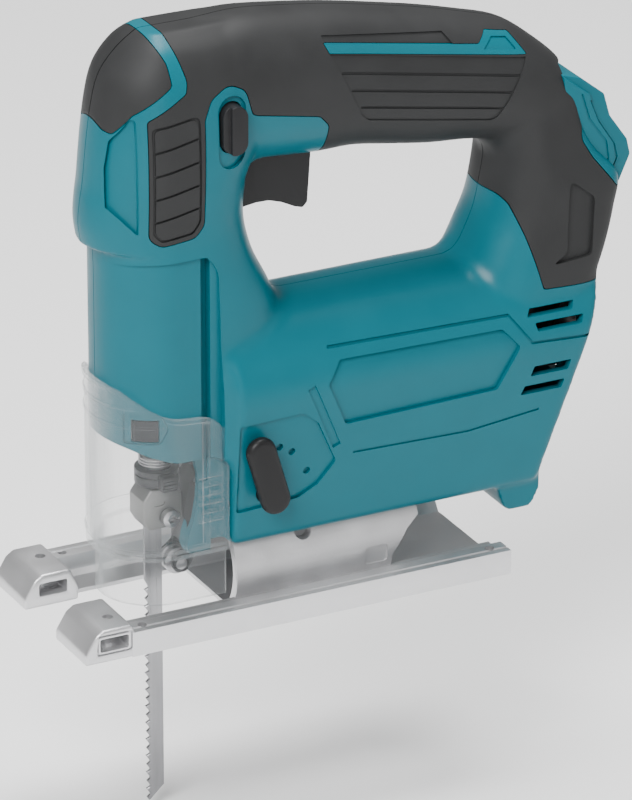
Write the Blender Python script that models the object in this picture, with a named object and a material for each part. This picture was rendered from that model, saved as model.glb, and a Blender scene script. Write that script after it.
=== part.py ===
"""Cordless jigsaw: clam-shell housing with its drive train, plunger, blade and tilting shoe.

Frame: X runs from the blade at the front (-X) to the battery seat at the rear (+X), Y across
the tool, +Z up.  The origin is the middle of the shoe's sole.  All sizes are in metres.
"""
import math

import bmesh
import bpy
from mathutils import Matrix, Vector

MM = 0.001
GAP = 0.3 * MM              # clearance between pieces that touch
SPLIT = 0.15 * MM           # half the joint line between the two housing halves

# Shoe
SHOE_LENGTH = 168.5 * MM
SHOE_WIDTH = 76.0 * MM
PLATE_THICK = 1.5 * MM
LEDGE_TOP = 5.5 * MM
RAIL_TOP = 9.3 * MM
PRONG_TOP = 12.4 * MM
OPENING_HALF = 17.8 * MM    # half the width of the blade opening at the plate
PRONG_INNER = 12.7 * MM
PRONG_BACK = -66.0 * MM
TILT_Z = 14.0 * MM          # height of the bevel axis
SADDLE_R = 23.5 * MM
SADDLE_WALL = 3.5 * MM
SADDLE_FRONT = -18.0 * MM
SADDLE_BACK = 55.0 * MM

# Housing
WALL = 2.5 * MM
RUBBER = 2.0 * MM
COLUMN_X = -40.0 * MM       # axis of the round front column
BARREL_R = 30.0 * MM
BARREL_Z = 82.0 * MM
BODY_BOTTOM = 26.5 * MM
BODY_BOTTOM_HALF = 24.0 * MM
BODY_FRONT = -20.0 * MM
REAR_X = 106.5 * MM         # rear face where REAR_Z is its height
REAR_Z = 45.0 * MM
REAR_LEAN = 0.36            # rearward run of the rear face for each metre up
HANDLE_HALF_WIDTH = 19.5 * MM
SEAT_DEEP = 9.0 * MM        # front of the battery seat, measured in from the rear face
SEAT_SUNK = 2.5 * MM        # its face
RAIL_REACH = 2.0 * MM       # how far its rails stand out of the rear face

# Drive
MOTOR_Z = 78.75 * MM
GEAR_TEETH = 40
PINION_TEETH = 10
MODULE = 0.85 * MM
GEAR_Z = MOTOR_Z + 0.5 * MODULE * (GEAR_TEETH + PINION_TEETH)
GEAR_FRONT = -16.0 * MM
GEAR_THICK = 6.0 * MM
CRANK_R = 9.0 * MM          # half the blade's stroke
CRANK_PIN_R = 3.0 * MM
MOTOR_R = 17.8 * MM
MAGNET_OUTER_R = MOTOR_R - 1.6 * MM
MAGNET_INNER_R = MOTOR_R - 4.0 * MM
ARMATURE_R = MAGNET_INNER_R - 0.6 * MM
MOTOR_FRONT = 24.0 * MM
MOTOR_LENGTH = 58.0 * MM
SHAFT_R = 2.5 * MM
FAN_R = 19.0 * MM

# Plunger and blade
PLUNGER_X = -38.0 * MM
PLUNGER_R = 5.0 * MM
PLUNGER_LOW = 46.3 * MM
PLUNGER_HIGH = 140.0 * MM
GUIDE_HALF_WIDTH = 9.0 * MM
GUIDE_PIVOT = (-38.0 * MM, 160.0 * MM)
GUIDE_PIN_R = 2.5 * MM
YOKE_FRONT = -23.5 * MM
YOKE_BACK = -18.0 * MM
YOKE_SLACK = 2.0 * MM       # room above and below the pin for the simplified drive
BLADE_BACK = -36.5 * MM
BLADE_WIDTH = 6.8 * MM
BLADE_THICK = 1.2 * MM
BLADE_TOP = 36.0 * MM
BLADE_TIP = -79.0 * MM
TOOTH_PITCH = 3.3 * MM
TOOTH_DEPTH = 1.6 * MM
ROLLER_R = 5.0 * MM
ROLLER_Z = 15.0 * MM
ROLLER_PIN_R = 1.5 * MM
ARM_PIVOT = (-24.5 * MM, 46.0 * MM)

# Guard
GUARD_R = 23.5 * MM
GUARD_WALL = 1.5 * MM
SKIRT_R = 20.5 * MM
SKIRT_TOP = 26.0 * MM
GUARD_BOTTOM = 7.7 * MM
GUARD_TOP_FRONT = 92.7 * MM
GUARD_TOP_REAR = 74.0 * MM
GUARD_BACK = -21.0 * MM

# Controls
TRIGGER_PIVOT = (-2.0 * MM, 173.0 * MM)
TRIGGER_HALF_WIDTH = 7.5 * MM
LEVER_PIVOT = (-7.0 * MM, 46.0 * MM)
LEVER_TIP = (-12.5 * MM, 65.0 * MM)
LEVER_SHAFT_R = 4.0 * MM
LEVER_INNER_Y = -29.2 * MM
LEVER_OUTER_Y = -34.0 * MM
BUTTON_CENTRE = (-18.6 * MM, 185.0 * MM)
BUTTON_HALF = (4.3 * MM, 9.0 * MM)
BUTTON_NEAR_Y = -26.5 * MM
BUTTON_FAR_Y = 19.5 * MM
BOLT_X = 9.4 * MM
BOLT_R = 3.0 * MM

# Fasteners: places (x, z) of the screws that close the housing, all driven from +Y
SCREW_SHANK_R = 1.5 * MM
SCREW_HEAD_R = 3.2 * MM
SCREW_HEAD_DEEP = 6.0 * MM
BOSS_R = 3.8 * MM
SCREWS = {
    "housing_screw_nose": (-46.0 * MM, 199.0 * MM),
    "housing_screw_grip_rear": (108.0 * MM, 172.0 * MM),
    "housing_screw_top": (13.5 * MM, 105.0 * MM),
    "housing_screw_leg": (112.0 * MM, 126.0 * MM),
    "housing_screw_foot": (96.0 * MM, 36.0 * MM),
    "housing_screw_gear": (9.0 * MM, 54.0 * MM),
}

TEAL = (0.0, 0.22, 0.29)
RUBBER_GREY = (0.07, 0.07, 0.072)
BLACK = (0.015, 0.015, 0.016)
CAST = (0.55, 0.55, 0.56)
STEEL = (0.45, 0.45, 0.46)
COPPER = (0.55, 0.25, 0.12)


# ---------------------------------------------------------------- helpers

def clear_scene():
    for item in list(bpy.data.objects):
        bpy.data.objects.remove(item, do_unlink=True)


def make_material(name, colour, roughness, metallic=0.0):
    material = bpy.data.materials.new(name)
    material.use_nodes = True
    shader = material.node_tree.nodes["Principled BSDF"]
    shader.inputs["Base Color"].default_value = (*colour, 1.0)
    shader.inputs["Roughness"].default_value = roughness
    shader.inputs["Metallic"].default_value = metallic
    return material


def solid(name, points, faces):
    """A closed body from points and faces, its faces turned outwards."""
    mesh = bpy.data.meshes.new(name)
    mesh.from_pydata([tuple(p) for p in points], [], faces)
    body = bmesh.new()
    body.from_mesh(mesh)
    bmesh.ops.triangulate(body, faces=body.faces[:])
    bmesh.ops.recalc_face_normals(body, faces=body.faces[:])
    body.to_mesh(mesh)
    body.free()
    item = bpy.data.objects.new(name, mesh)
    bpy.context.scene.collection.objects.link(item)
    return item


def loft(name, rings):
    """Skin a run of equal rings and close both ends."""
    count = len(rings[0])
    points = [p for ring in rings for p in ring]
    faces = [list(range(count)), list(range(len(points) - count, len(points)))]
    for row in range(len(rings) - 1):
        for i in range(count):
            a = row * count + i
            b = row * count + (i + 1) % count
            faces.append([a, b, b + count, a + count])
    return solid(name, points, faces)


def place(axis, u, v, along):
    """A point from two cross coordinates and the one along an axis."""
    if axis == "X":
        return (along, u, v)
    if axis == "Y":
        return (u, along, v)
    return (u, v, along)


def extrude(name, outline, axis, low, high):
    """A flat outline in the plane across an axis, drawn out along it."""
    ring_low = [place(axis, u, v, low) for u, v in outline]
    ring_high = [place(axis, u, v, high) for u, v in outline]
    return loft(name, [ring_low, ring_high])


def box(name, x, y, z):
    outline = [(x[0], z[0]), (x[1], z[0]), (x[1], z[1]), (x[0], z[1])]
    return extrude(name, outline, "Y", y[0], y[1])


def circle(centre, radius, steps, start=0.0):
    turn = 2 * math.pi / steps
    return [(centre[0] + radius * math.cos(start + turn * i),
             centre[1] + radius * math.sin(start + turn * i)) for i in range(steps)]


def rod(name, axis, centre, low, high, radius, steps=20):
    return extrude(name, circle(centre, radius, steps), axis, low, high)


def ring(name, axis, centre, low, high, outer, inner, steps=20):
    body = rod(name, axis, centre, low, high, outer, steps)
    return cut(body, rod("bore", axis, centre, low - MM, high + MM, inner, steps))


def turned(name, axis, centre, profile, steps=20):
    """A body turned from (along, radius) pairs, with flat ends."""
    rings = []
    for along, radius in profile:
        rings.append([place(axis, u, v, along) for u, v in circle(centre, radius, steps)])
    return loft(name, rings)


def apply_boolean(target, tool, operation):
    modifier = target.modifiers.new("shape", "BOOLEAN")
    modifier.operation = operation
    modifier.solver = "EXACT"
    modifier.object = tool
    bpy.context.view_layer.update()
    depsgraph = bpy.context.evaluated_depsgraph_get()
    mesh = bpy.data.meshes.new_from_object(target.evaluated_get(depsgraph))
    target.modifiers.clear()
    target.data = mesh
    bpy.data.objects.remove(tool, do_unlink=True)
    return target


def cut(target, *tools):
    for tool in tools:
        apply_boolean(target, tool, "DIFFERENCE")
    return target


def join(target, *tools):
    for tool in tools:
        apply_boolean(target, tool, "UNION")
    return target


def keep(target, tool):
    return apply_boolean(target, tool, "INTERSECT")


def turn(item, axis, angle, centre=(0, 0, 0)):
    """Turn a body's mesh about an axis through a point."""
    shift = Matrix.Translation(Vector(centre))
    item.data.transform(shift @ Matrix.Rotation(angle, 4, axis) @ shift.inverted())
    return item


def copy_of(item):
    twin = item.copy()
    twin.data = item.data.copy()
    bpy.context.scene.collection.objects.link(twin)
    return twin


def finish(item, name, material, pivot=None, smooth=35):
    """Name a piece, give it its material and put its origin on its pivot."""
    item.name = name
    item.data.name = name
    body = bmesh.new()
    body.from_mesh(item.data)
    bmesh.ops.remove_doubles(body, verts=body.verts[:], dist=0.002 * MM)
    bmesh.ops.dissolve_degenerate(body, edges=body.edges[:], dist=0.002 * MM)
    bmesh.ops.triangulate(body, faces=body.faces[:])
    body.to_mesh(item.data)
    body.free()
    item.data.materials.clear()
    item.data.materials.append(material)
    item.data.shade_smooth()
    item.data.set_sharp_from_angle(angle=math.radians(smooth))
    if pivot is not None:
        item.data.transform(Matrix.Translation(-Vector(pivot)))
        item.location = pivot
    return item


def offset_outline(outline, distance):
    """Move each side of a counter-clockwise outline outwards, keeping mitred corners."""
    count = len(outline)
    moved = []
    for i in range(count):
        before = Vector(outline[i - 1])
        here = Vector(outline[i])
        after = Vector(outline[(i + 1) % count])
        side_in = (here - before).normalized()
        side_out = (after - here).normalized()
        normal_in = Vector((side_in.y, -side_in.x))
        normal_out = Vector((side_out.y, -side_out.x))
        mitre = (normal_in + normal_out).normalized()
        moved.append(tuple(here + mitre * distance / max(0.5, mitre.dot(normal_in))))
    return moved


# ---------------------------------------------------------------- housing envelope

RING_POINTS = 20            # points round a section of the outer form
HOLLOW_POINTS = 12          # and of the hollow inside it
GRIP_LOW = 125.0            # above this height the column narrows behind, for the fingers
# Column and head: height, front, back, half width, grip thickness taken off inside
COLUMN_STATIONS = [
    (63, -61.6, -4.0, 21.6, False),
    (108, -61.6, 5.5, 21.6, False),
    (118, -61.6, 3.5, 21.6, False),
    (130, -61.6, -2.8, 21.6, False),
    (141, -62.0, -6.8, 22.0, False),
    (146, -64.5, -7.8, 23.0, True),
    (165, -65.0, -6.5, 24.2, True),
    (180, -63.5, 2.0, 24.2, True),
    (195, -61.5, 6.0, 23.2, True),
    (205, -58.5, 6.0, 21.0, True),
    (213, -52.0, 4.0, 16.5, True),
    (218.5, -44.0, 0.0, 9.0, True),
]
# Grip: x, centre height, half height, half width beyond HANDLE_HALF_WIDTH
HANDLE_STATIONS = [
    (-34, 191.0, 27.0, 2.5),
    (-5, 192.0, 27.5, 2.5),
    (20, 189.5, 27.0, 1.0),
    (35, 188.2, 25.8, 0.0),
    (66, 182.5, 24.9, 0.0),
    (82, 179.7, 23.4, 0.0),
    (98, 175.5, 22.5, 0.5),
    (110, 168.5, 21.0, 0.5),
    (119, 164.0, 17.0, -2.0),
    (124, 162.0, 10.0, -8.0),
]
# Rear leg: height, front, back, half width
LEG_STATIONS = [
    (92, 74.0, 122.5, 26.5),
    (105, 77.0, 128.5, 26.0),
    (116, 82.0, 132.5, 25.3),
    (128, 87.5, 135.5, 24.5),
    (139, 90.0, 137.0, 24.0),
    (150, 92.0, 127.5, 22.5),
    (160, 94.0, 122.5, 21.0),
    (172, 96.0, 122.0, 18.5),
]


def power_curve(angle, half_a, half_b, power):
    """A point on a rounded box outline; power 2 is an ellipse, more is squarer."""
    c = math.cos(angle)
    s = math.sin(angle)
    u = math.copysign(abs(c) ** (2.0 / power), c) * half_a
    v = math.copysign(abs(s) ** (2.0 / power), s) * half_b
    return u, v


def plan_ring(z, front, back, middle, half, front_power, back_power, count):
    """A horizontal ring that is round at one end and squarer at the other."""
    points = []
    for i in range(count):
        angle = 2 * math.pi * (i + 0.5) / count
        if math.cos(angle) < 0:
            u, v = power_curve(angle, middle - front, half, front_power)
        else:
            u, v = power_curve(angle, back - middle, half, back_power)
        points.append((middle + u, v, z))
    return points


def column_form(inset, rubber_inset, count):
    rings = []
    for z, front, back, half, padded in COLUMN_STATIONS:
        shrink = rubber_inset if padded else inset
        height = z * MM
        if z == COLUMN_STATIONS[-1][0]:
            height -= shrink
        if z == COLUMN_STATIONS[0][0] and inset > 0:
            height -= 2 * MM
        back_power = 3.0 if z > GRIP_LOW else 5.0
        rings.append(plan_ring(height, front * MM + shrink, back * MM - shrink, COLUMN_X,
                               half * MM - shrink, 2.0, back_power, count))
    return loft("column", rings)


def handle_form(shrink, count):
    rings = []
    for x, centre, half, wider in HANDLE_STATIONS:
        points = []
        for i in range(count):
            angle = 2 * math.pi * (i + 0.5) / count
            width = HANDLE_HALF_WIDTH + wider * MM - shrink
            u, v = power_curve(angle, width, half * MM - shrink, 2.25)
            points.append((x * MM, u, centre * MM + v))
        rings.append(points)
    shift = [rings[0], rings[-1]]
    for end, way in zip(shift, (1, -1)):
        end[:] = [(p[0] + way * shrink, p[1], p[2]) for p in end]
    return loft("handle", rings)


def leg_form(shrink, count):
    rings = []
    for z, front, back, half in LEG_STATIONS:
        middle = 0.5 * (front + back) * MM
        rings.append(plan_ring(z * MM, front * MM + shrink, back * MM - shrink, middle,
                               half * MM - shrink, 2.2, 6.0, count))
    return loft("leg", rings)


def barrel_section(shrink):
    """Round-topped section of the motor barrel, from its lower right corner round to the left."""
    top_r = BARREL_R - shrink
    low_half = BODY_BOTTOM_HALF - shrink
    arc = [(top_r * math.cos(math.pi * i / 12), BARREL_Z + top_r * math.sin(math.pi * i / 12))
           for i in range(13)]
    low = BODY_BOTTOM + shrink
    return [(low_half - 2 * MM, low), (low_half, low + 2 * MM)] + arc \
        + [(-low_half, low + 2 * MM), (-low_half + 2 * MM, low)]


def rear_face(z):
    return REAR_X + REAR_LEAN * (z - REAR_Z)


def barrel_form(shrink):
    section = barrel_section(shrink)
    front = [(BODY_FRONT + shrink, y, z) for y, z in section]
    back = [(rear_face(z) - shrink, y, z) for y, z in section]
    return loft("barrel", [front, back])


def foot_form(shrink):
    outline = [(88, 22), (91, 16.5), (101, 16.5), (104, 20), (104.5, 56), (84, 56), (88, 45)]
    points = offset_outline([(x * MM, z * MM) for x, z in outline], -shrink)
    return extrude("foot", points, "Y", -22 * MM + shrink, 22 * MM - shrink)


def tail_form(shrink):
    """The narrow back wall of the column below its front arch."""
    return box("tail", (-34 * MM + shrink, -16 * MM), (-17.5 * MM + shrink, 17.5 * MM - shrink),
               (BODY_BOTTOM - 2 * MM + shrink, 66 * MM))


def envelope(inset, rubber_inset, count=RING_POINTS):
    """The whole housing's outer form, drawn in by one inset, or another under the rubber."""
    form = barrel_form(inset)
    return join(form, tail_form(inset), column_form(inset, rubber_inset, count),
                leg_form(rubber_inset, count), handle_form(rubber_inset, count), foot_form(inset))


# Outline of the rubber grip seen from the side, counter-clockwise from its front top
GRIP_OUTLINE = [(-38, 230), (-38.7, 220), (-36.6, 203), (-51.2, 193.4), (-50.7, 149), (-46, 145.4),
                (-31.3, 147.4), (-29.3, 195), (-25, 199), (-19.5, 200.5), (-14, 198.5), (-11, 188.3),
                (17.6, 181), (20.5, 177.5), (20.8, 150), (50, 135), (82, 138.8), (90.5, 140.8),
                (94.4, 132.8), (98.8, 113.5), (102.5, 107), (125, 105.5), (160, 106), (160, 139.2),
                (136, 139.2), (125.6, 150.3), (121, 159.2), (125.2, 170), (121.5, 181), (110, 230)]
REAR_CAP_OUTLINE = [(119, 139), (138.2, 138.2), (142.8, 148), (141.4, 154), (133.9, 164.2),
                    (131.3, 173), (121.7, 180), (115, 180)]


NOSE_CAP_OUTLINE = [(-80, 184), (-62.8, 189), (-55.6, 194.8), (-41, 204.8), (-41.5, 212),
                    (-45, 222), (-46, 232), (-80, 232)]


def zone(outline, grow):
    points = [(x * MM, z * MM) for x, z in outline]
    if signed_area(points) < 0:
        points.reverse()
    return extrude("zone", offset_outline(points, grow), "Y", -40 * MM, 40 * MM)


def signed_area(points):
    return 0.5 * sum(a[0] * b[1] - b[0] * a[1] for a, b in zip(points, points[1:] + points[:1]))


def button_outline(grow):
    """Upright oblong with round ends."""
    half_x = BUTTON_HALF[0] + grow
    rise = BUTTON_HALF[1] + grow - half_x
    points = []
    for centre, start in ((rise, 0.0), (-rise, math.pi)):
        for i in range(7):
            angle = start + math.pi * i / 6
            points.append((BUTTON_CENTRE[0] + half_x * math.cos(angle),
                           BUTTON_CENTRE[1] + centre + half_x * math.sin(angle)))
    return points


def lamp_block(grow, inner_y, outer_r):
    """Block of the work lamp in the column's left front, rounded to the column."""
    block = box("lamp", (-54.5 * MM - grow, -46.5 * MM + grow), (-30 * MM, inner_y),
                (71.3 * MM - grow, 79.2 * MM + grow))
    return keep(block, rod("round", "Z", (COLUMN_X, 0), 60 * MM, 90 * MM, outer_r, 48))


def battery_clearance():
    """Room behind the rear face for the battery seat and the cap above it."""
    low, high = 66 * MM, 137 * MM
    front = -SEAT_DEEP - 0.5 * MM
    outline = [(rear_face(low) + front, low), (170 * MM, low), (170 * MM, 182 * MM),
               (114.5 * MM, 182 * MM), (118.5 * MM, high + MM), (rear_face(high) + front, high)]
    half = HANDLE_HALF_WIDTH - 2 * MM
    return extrude("battery room", outline, "Y", -half, half)


def screw_bosses(side):
    bosses = []
    for x, z in SCREWS.values():
        outer = 30 * MM * side
        bosses.append(rod("boss", "Y", (x, z), min(0, outer), max(0, outer), BOSS_R, 12))
    return bosses


def saddle_seat():
    """The round-roofed seat under the body that the shoe's saddle turns in."""
    return rod("seat", "X", (0, TILT_Z), SADDLE_FRONT - 2 * MM, SADDLE_BACK + 5 * MM,
               SADDLE_R + 0.5 * MM + WALL, 32)


def housing_cuts():
    seat_r = SADDLE_R + 0.5 * MM
    cuts = [
        rod("seat room", "X", (0, TILT_Z), SADDLE_FRONT - 6 * MM, SADDLE_BACK + 3 * MM, seat_r, 32),
        box("trigger slot", (-10.5 * MM, 21.2 * MM), (-8.3 * MM, 8.3 * MM), (146.5 * MM, 184 * MM)),
        extrude("button slot", button_outline(0.5 * MM), "Y", -30 * MM, 30 * MM),
        rod("lever hole", "Y", LEVER_PIVOT, -35 * MM, -12 * MM, LEVER_SHAFT_R + GAP, 16),
        lamp_block(GAP, -10 * MM, 30 * MM),
        box("arm slot", (-40 * MM, -19.5 * MM), (-12 * MM, 12 * MM), (20 * MM, 62 * MM)),
        box("tail slot", (-22 * MM, -14 * MM), (-5 * MM, 5 * MM), (40 * MM, 54 * MM)),
        rod("arm pin hole", "Y", ARM_PIVOT, -15 * MM, 15 * MM, ROLLER_PIN_R + GAP, 12),
        rod("bolt hole", "Z", (BOLT_X, 0), 30 * MM, 50 * MM, BOLT_R + 0.4 * MM, 16),
        battery_clearance(),
        box("cap room", (119.5 * MM, 150 * MM), (-40 * MM, 40 * MM), (139.5 * MM, 190 * MM)),
    ]
    for z in (64.2, 70.0, 88.0, 94.2):
        cuts.append(box("vent", (97 * MM, 113 * MM), (-40 * MM, 40 * MM),
                        ((z - 1.6) * MM, (z + 1.6) * MM)))
    return cuts


def half_space(side, depth=60 * MM):
    y = (SPLIT, depth) if side > 0 else (-depth, -SPLIT)
    return box("half", (-120 * MM, 180 * MM), y, (-100 * MM, 260 * MM))


def housing_solid():
    """Both halves in one: outer form, less the rubber's room and the hollow, plus its bosses."""
    shell = envelope(0.0, 0.0)
    inner = envelope(RUBBER + GAP, RUBBER + GAP)
    cut(shell, cut(zone(GRIP_OUTLINE, GAP), copy_of(inner)), cut(zone(NOSE_CAP_OUTLINE, GAP), inner))
    hollow = envelope(WALL, RUBBER + GAP + WALL, HOLLOW_POINTS)
    hollow = join(hollow, box("column mouth", (-58.5 * MM, -30 * MM), (-16 * MM, 16 * MM),
                              (55 * MM, 70 * MM)))
    cut(shell, hollow)
    return shell


def add_bosses(shell, side):
    outer = keep(envelope(0.8 * MM, RUBBER + GAP + 0.8 * MM, HOLLOW_POINTS), half_space(side))
    bosses = screw_bosses(side)
    body = bosses[0]
    for boss in bosses[1:]:
        join(body, boss)
    join(body, keep(saddle_seat(), half_space(side)))
    keep(body, outer)
    return join(shell, body)


def cut_screw_holes(shell, side):
    for x, z in SCREWS.values():
        cut(shell, rod("hole", "Y", (x, z), -12 * MM, 45 * MM, SCREW_SHANK_R + GAP, 10))
        if side > 0:
            head_y = screw_head_y(x, z)
            cut(shell, rod("head", "Y", (x, z), head_y - GAP, 45 * MM, SCREW_HEAD_R + GAP, 14))
    return shell


def half_width_at(x, z):
    """Rough half width of the housing where a screw sits."""
    if z > 150 * MM:
        return 19 * MM
    if z > BARREL_Z:
        drop = max(0.0, BARREL_R ** 2 - (z - BARREL_Z) ** 2)
        return max(14 * MM, min(24 * MM, math.sqrt(drop)))
    return 22 * MM


def screw_head_y(x, z):
    return half_width_at(x, z) - SCREW_HEAD_DEEP


def make_housing(materials):
    shell = housing_solid()
    twin = copy_of(shell)
    for part, side, name in ((shell, -1, "housing_left"), (twin, 1, "housing_right")):
        keep(part, half_space(side))
        add_bosses(part, side)
        cut(part, *housing_cuts())
        cut_screw_holes(part, side)
        finish(part, name, materials["teal"])


def make_grips(materials):
    rubber = keep(envelope(0.0, 0.0), zone(GRIP_OUTLINE, 0.0))
    cut(rubber, envelope(RUBBER, RUBBER), battery_clearance())
    cut(rubber, box("trigger room", (-8 * MM, 21.2 * MM), (-9 * MM, 9 * MM), (140 * MM, 184 * MM)))
    twin = copy_of(rubber)
    for part, side, name in ((rubber, -1, "grip_left"), (twin, 1, "grip_right")):
        keep(part, half_space(side))
        if side > 0:
            for x, z in SCREWS.values():
                cut(part, rod("head", "Y", (x, z), 0, 45 * MM, SCREW_HEAD_R + GAP, 14))
        finish(part, name, materials["rubber"])


def make_nose_cap(materials):
    cap = keep(envelope(0.0, 0.0), zone(NOSE_CAP_OUTLINE, 0.0))
    cut(cap, envelope(RUBBER, RUBBER))
    for x, z in SCREWS.values():
        cut(cap, rod("head", "Y", (x, z), 0, 45 * MM, SCREW_HEAD_R + GAP, 14))
    finish(cap, "nose_cap", materials["rubber"])


def make_rear_cap(materials):
    points = [(x * MM, z * MM) for x, z in REAR_CAP_OUTLINE]
    cap = extrude("cap", points, "Y", -16.5 * MM, 16.5 * MM)
    inner = offset_outline(points, -2.2 * MM)
    cut(cap, extrude("inside", inner, "Y", -14.3 * MM, 14.3 * MM),
        box("mouth", (110 * MM, 126 * MM), (-12 * MM, 12 * MM), (144 * MM, 172 * MM)))
    finish(cap, "rear_cap", materials["teal"])


def leaning_block(front, back, y, z):
    """A block whose front and back faces follow the leaning rear face."""
    outline = [(rear_face(z[0]) + front, z[0]), (rear_face(z[0]) + back, z[0]),
               (rear_face(z[1]) + back, z[1]), (rear_face(z[1]) + front, z[1])]
    return extrude("block", outline, "Y", y[0], y[1])


def make_battery_seat(materials):
    """Sunk plate with two hooked rails, and three contact blades through it."""
    low, high = 68 * MM, 136 * MM
    face = -SEAT_SUNK
    seat = leaning_block(-SEAT_DEEP, face, (-17 * MM, 17 * MM), (low, high))
    for side in (-1, 1):
        rail = sorted((12.5 * MM * side, 17 * MM * side))
        lip = sorted((9.5 * MM * side, 17 * MM * side))
        join(seat, leaning_block(face - 0.5 * MM, RAIL_REACH - 0.5 * MM, rail, (low, 116 * MM)))
        join(seat, leaning_block(RAIL_REACH - 1.6 * MM, RAIL_REACH, lip, (low, 104 * MM)))
    for index, y in enumerate((-6 * MM, 0.0, 6 * MM)):
        slot = (y - 0.4 * MM - GAP, y + 0.4 * MM + GAP)
        cut(seat, leaning_block(-SEAT_DEEP - MM, MM, slot, (100 * MM - GAP, 112 * MM + GAP)))
        blade = leaning_block(-SEAT_DEEP - 2 * MM, MM, (y - 0.4 * MM, y + 0.4 * MM), (100 * MM, 112 * MM))
        finish(blade, "battery_terminal_%d" % (index + 1), materials["copper"])
    finish(seat, "battery_seat", materials["black"])


# ---------------------------------------------------------------- motor

def motor_rod(low, high, radius, steps=16):
    return rod("rod", "X", (0, MOTOR_Z), low, high, radius, steps)


def make_motor_can(materials):
    back = MOTOR_FRONT + MOTOR_LENGTH
    can = motor_rod(MOTOR_FRONT, back, MOTOR_R, 24)
    cut(can, motor_rod(MOTOR_FRONT + 1.5 * MM, back + MM, MOTOR_R - 1.3 * MM, 24))
    cut(can, motor_rod(MOTOR_FRONT - MM, MOTOR_FRONT + 3 * MM, SHAFT_R + 2 * MM, 12))
    finish(can, "motor_can", materials["steel"])
    for side, name in ((-1, "magnet_left"), (1, "magnet_right")):
        arc = [math.radians(a) for a in range(-55, 56, 22)]
        outer = [(side * MAGNET_OUTER_R * math.cos(a), MOTOR_Z + MAGNET_OUTER_R * math.sin(a)) for a in arc]
        inner = [(side * MAGNET_INNER_R * math.cos(a), MOTOR_Z + MAGNET_INNER_R * math.sin(a)) for a in arc]
        magnet = extrude("magnet", outer + inner[::-1], "X", 30 * MM, 66 * MM)
        finish(magnet, name, materials["black"])


def make_motor_end_cap(materials):
    back = MOTOR_FRONT + MOTOR_LENGTH
    cap = motor_rod(back + GAP, back + 4 * MM, MOTOR_R, 24)
    join(cap, motor_rod(back + 3 * MM, back + 9 * MM, 9 * MM, 16))
    cut(cap, motor_rod(back + 4 * MM, back + 10 * MM, 7 * MM + GAP, 16))
    cut(cap, motor_rod(back - MM, back + 5 * MM, SHAFT_R + MM, 12))
    for side in (-1, 1):
        arm = sorted((8.5 * MM * side, (MAGNET_INNER_R + 0.2 * MM) * side))
        slot = sorted((7.5 * MM * side, (MAGNET_INNER_R + 1.2 * MM) * side))
        join(cap, box("arm", (69 * MM, back + MM), arm, (MOTOR_Z - 4.6 * MM, MOTOR_Z + 4.6 * MM)))
        cut(cap, box("slot", (71 * MM - GAP, 78 * MM + GAP), slot,
                     (MOTOR_Z - 3 * MM - GAP, MOTOR_Z + 3 * MM + GAP)))
        brush = sorted((7.9 * MM * side, (MAGNET_INNER_R - 0.8 * MM) * side))
        block = box("brush", (71 * MM, 78 * MM), brush, (MOTOR_Z - 3 * MM, MOTOR_Z + 3 * MM))
        finish(block, "brush_left" if side < 0 else "brush_right", materials["black"])
    finish(cap, "motor_end_cap", materials["black"])


def make_armature(materials):
    back = MOTOR_FRONT + MOTOR_LENGTH
    profile = [(GEAR_FRONT - MM, SHAFT_R), (32 * MM, SHAFT_R), (32 * MM, ARMATURE_R),
               (64 * MM, ARMATURE_R), (64 * MM, 5 * MM), (70 * MM, 5 * MM), (70 * MM, 7.4 * MM),
               (79 * MM, 7.4 * MM), (79 * MM, SHAFT_R), (back + 9 * MM, SHAFT_R)]
    pivot = (0, 0, MOTOR_Z)
    finish(turned("shaft", "X", (0, MOTOR_Z), profile, 16), "armature", materials["copper"], pivot)
    pinion = gear_body(PINION_TEETH, (0, MOTOR_Z), math.pi / 2, SHAFT_R + GAP)
    finish(pinion, "motor_pinion", materials["steel"], pivot)
    fan = motor_rod(10 * MM, 11.5 * MM, FAN_R, 24)
    for index in range(8):
        blade = box("blade", (11 * MM, 18 * MM), (6 * MM, FAN_R - 0.5 * MM),
                    (MOTOR_Z - 0.7 * MM, MOTOR_Z + 0.7 * MM))
        join(fan, turn(blade, "X", 2 * math.pi * index / 8 + 0.05, pivot))
    join(fan, motor_rod(9 * MM, 20 * MM, 6.5 * MM, 16))
    cut(fan, motor_rod(8 * MM, 21 * MM, SHAFT_R + GAP, 16))
    finish(fan, "cooling_fan", materials["black"], pivot)


def make_bearings(materials):
    back = MOTOR_FRONT + MOTOR_LENGTH
    front = ring("b", "X", (0, MOTOR_Z), 1.5 * MM, 6.5 * MM, 7 * MM, SHAFT_R + GAP)
    rear = ring("b", "X", (0, MOTOR_Z), back + 4.3 * MM, back + 8.5 * MM, 7 * MM, SHAFT_R + GAP)
    gear = ring("b", "X", (0, GEAR_Z), 1.5 * MM, 6.5 * MM, 6.5 * MM, 4 * MM + GAP)
    finish(front, "motor_bearing_front", materials["steel"])
    finish(rear, "motor_bearing_rear", materials["steel"])
    finish(gear, "gear_bearing", materials["steel"])


# ---------------------------------------------------------------- gears, crank and yoke

def gear_outline(teeth, centre, start):
    """Trapezoid teeth, narrow enough to run with clearance."""
    pitch_r = 0.5 * MODULE * teeth
    tip_r = pitch_r + 0.75 * MODULE
    root_r = pitch_r - 1.05 * MODULE
    tooth = 2 * math.pi / teeth
    points = []
    for i in range(teeth):
        middle = start + i * tooth
        for share, radius in ((-0.27, root_r), (-0.10, tip_r), (0.10, tip_r), (0.27, root_r)):
            angle = middle + share * tooth
            points.append((centre[0] + radius * math.cos(angle),
                           centre[1] + radius * math.sin(angle)))
    return points


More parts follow.
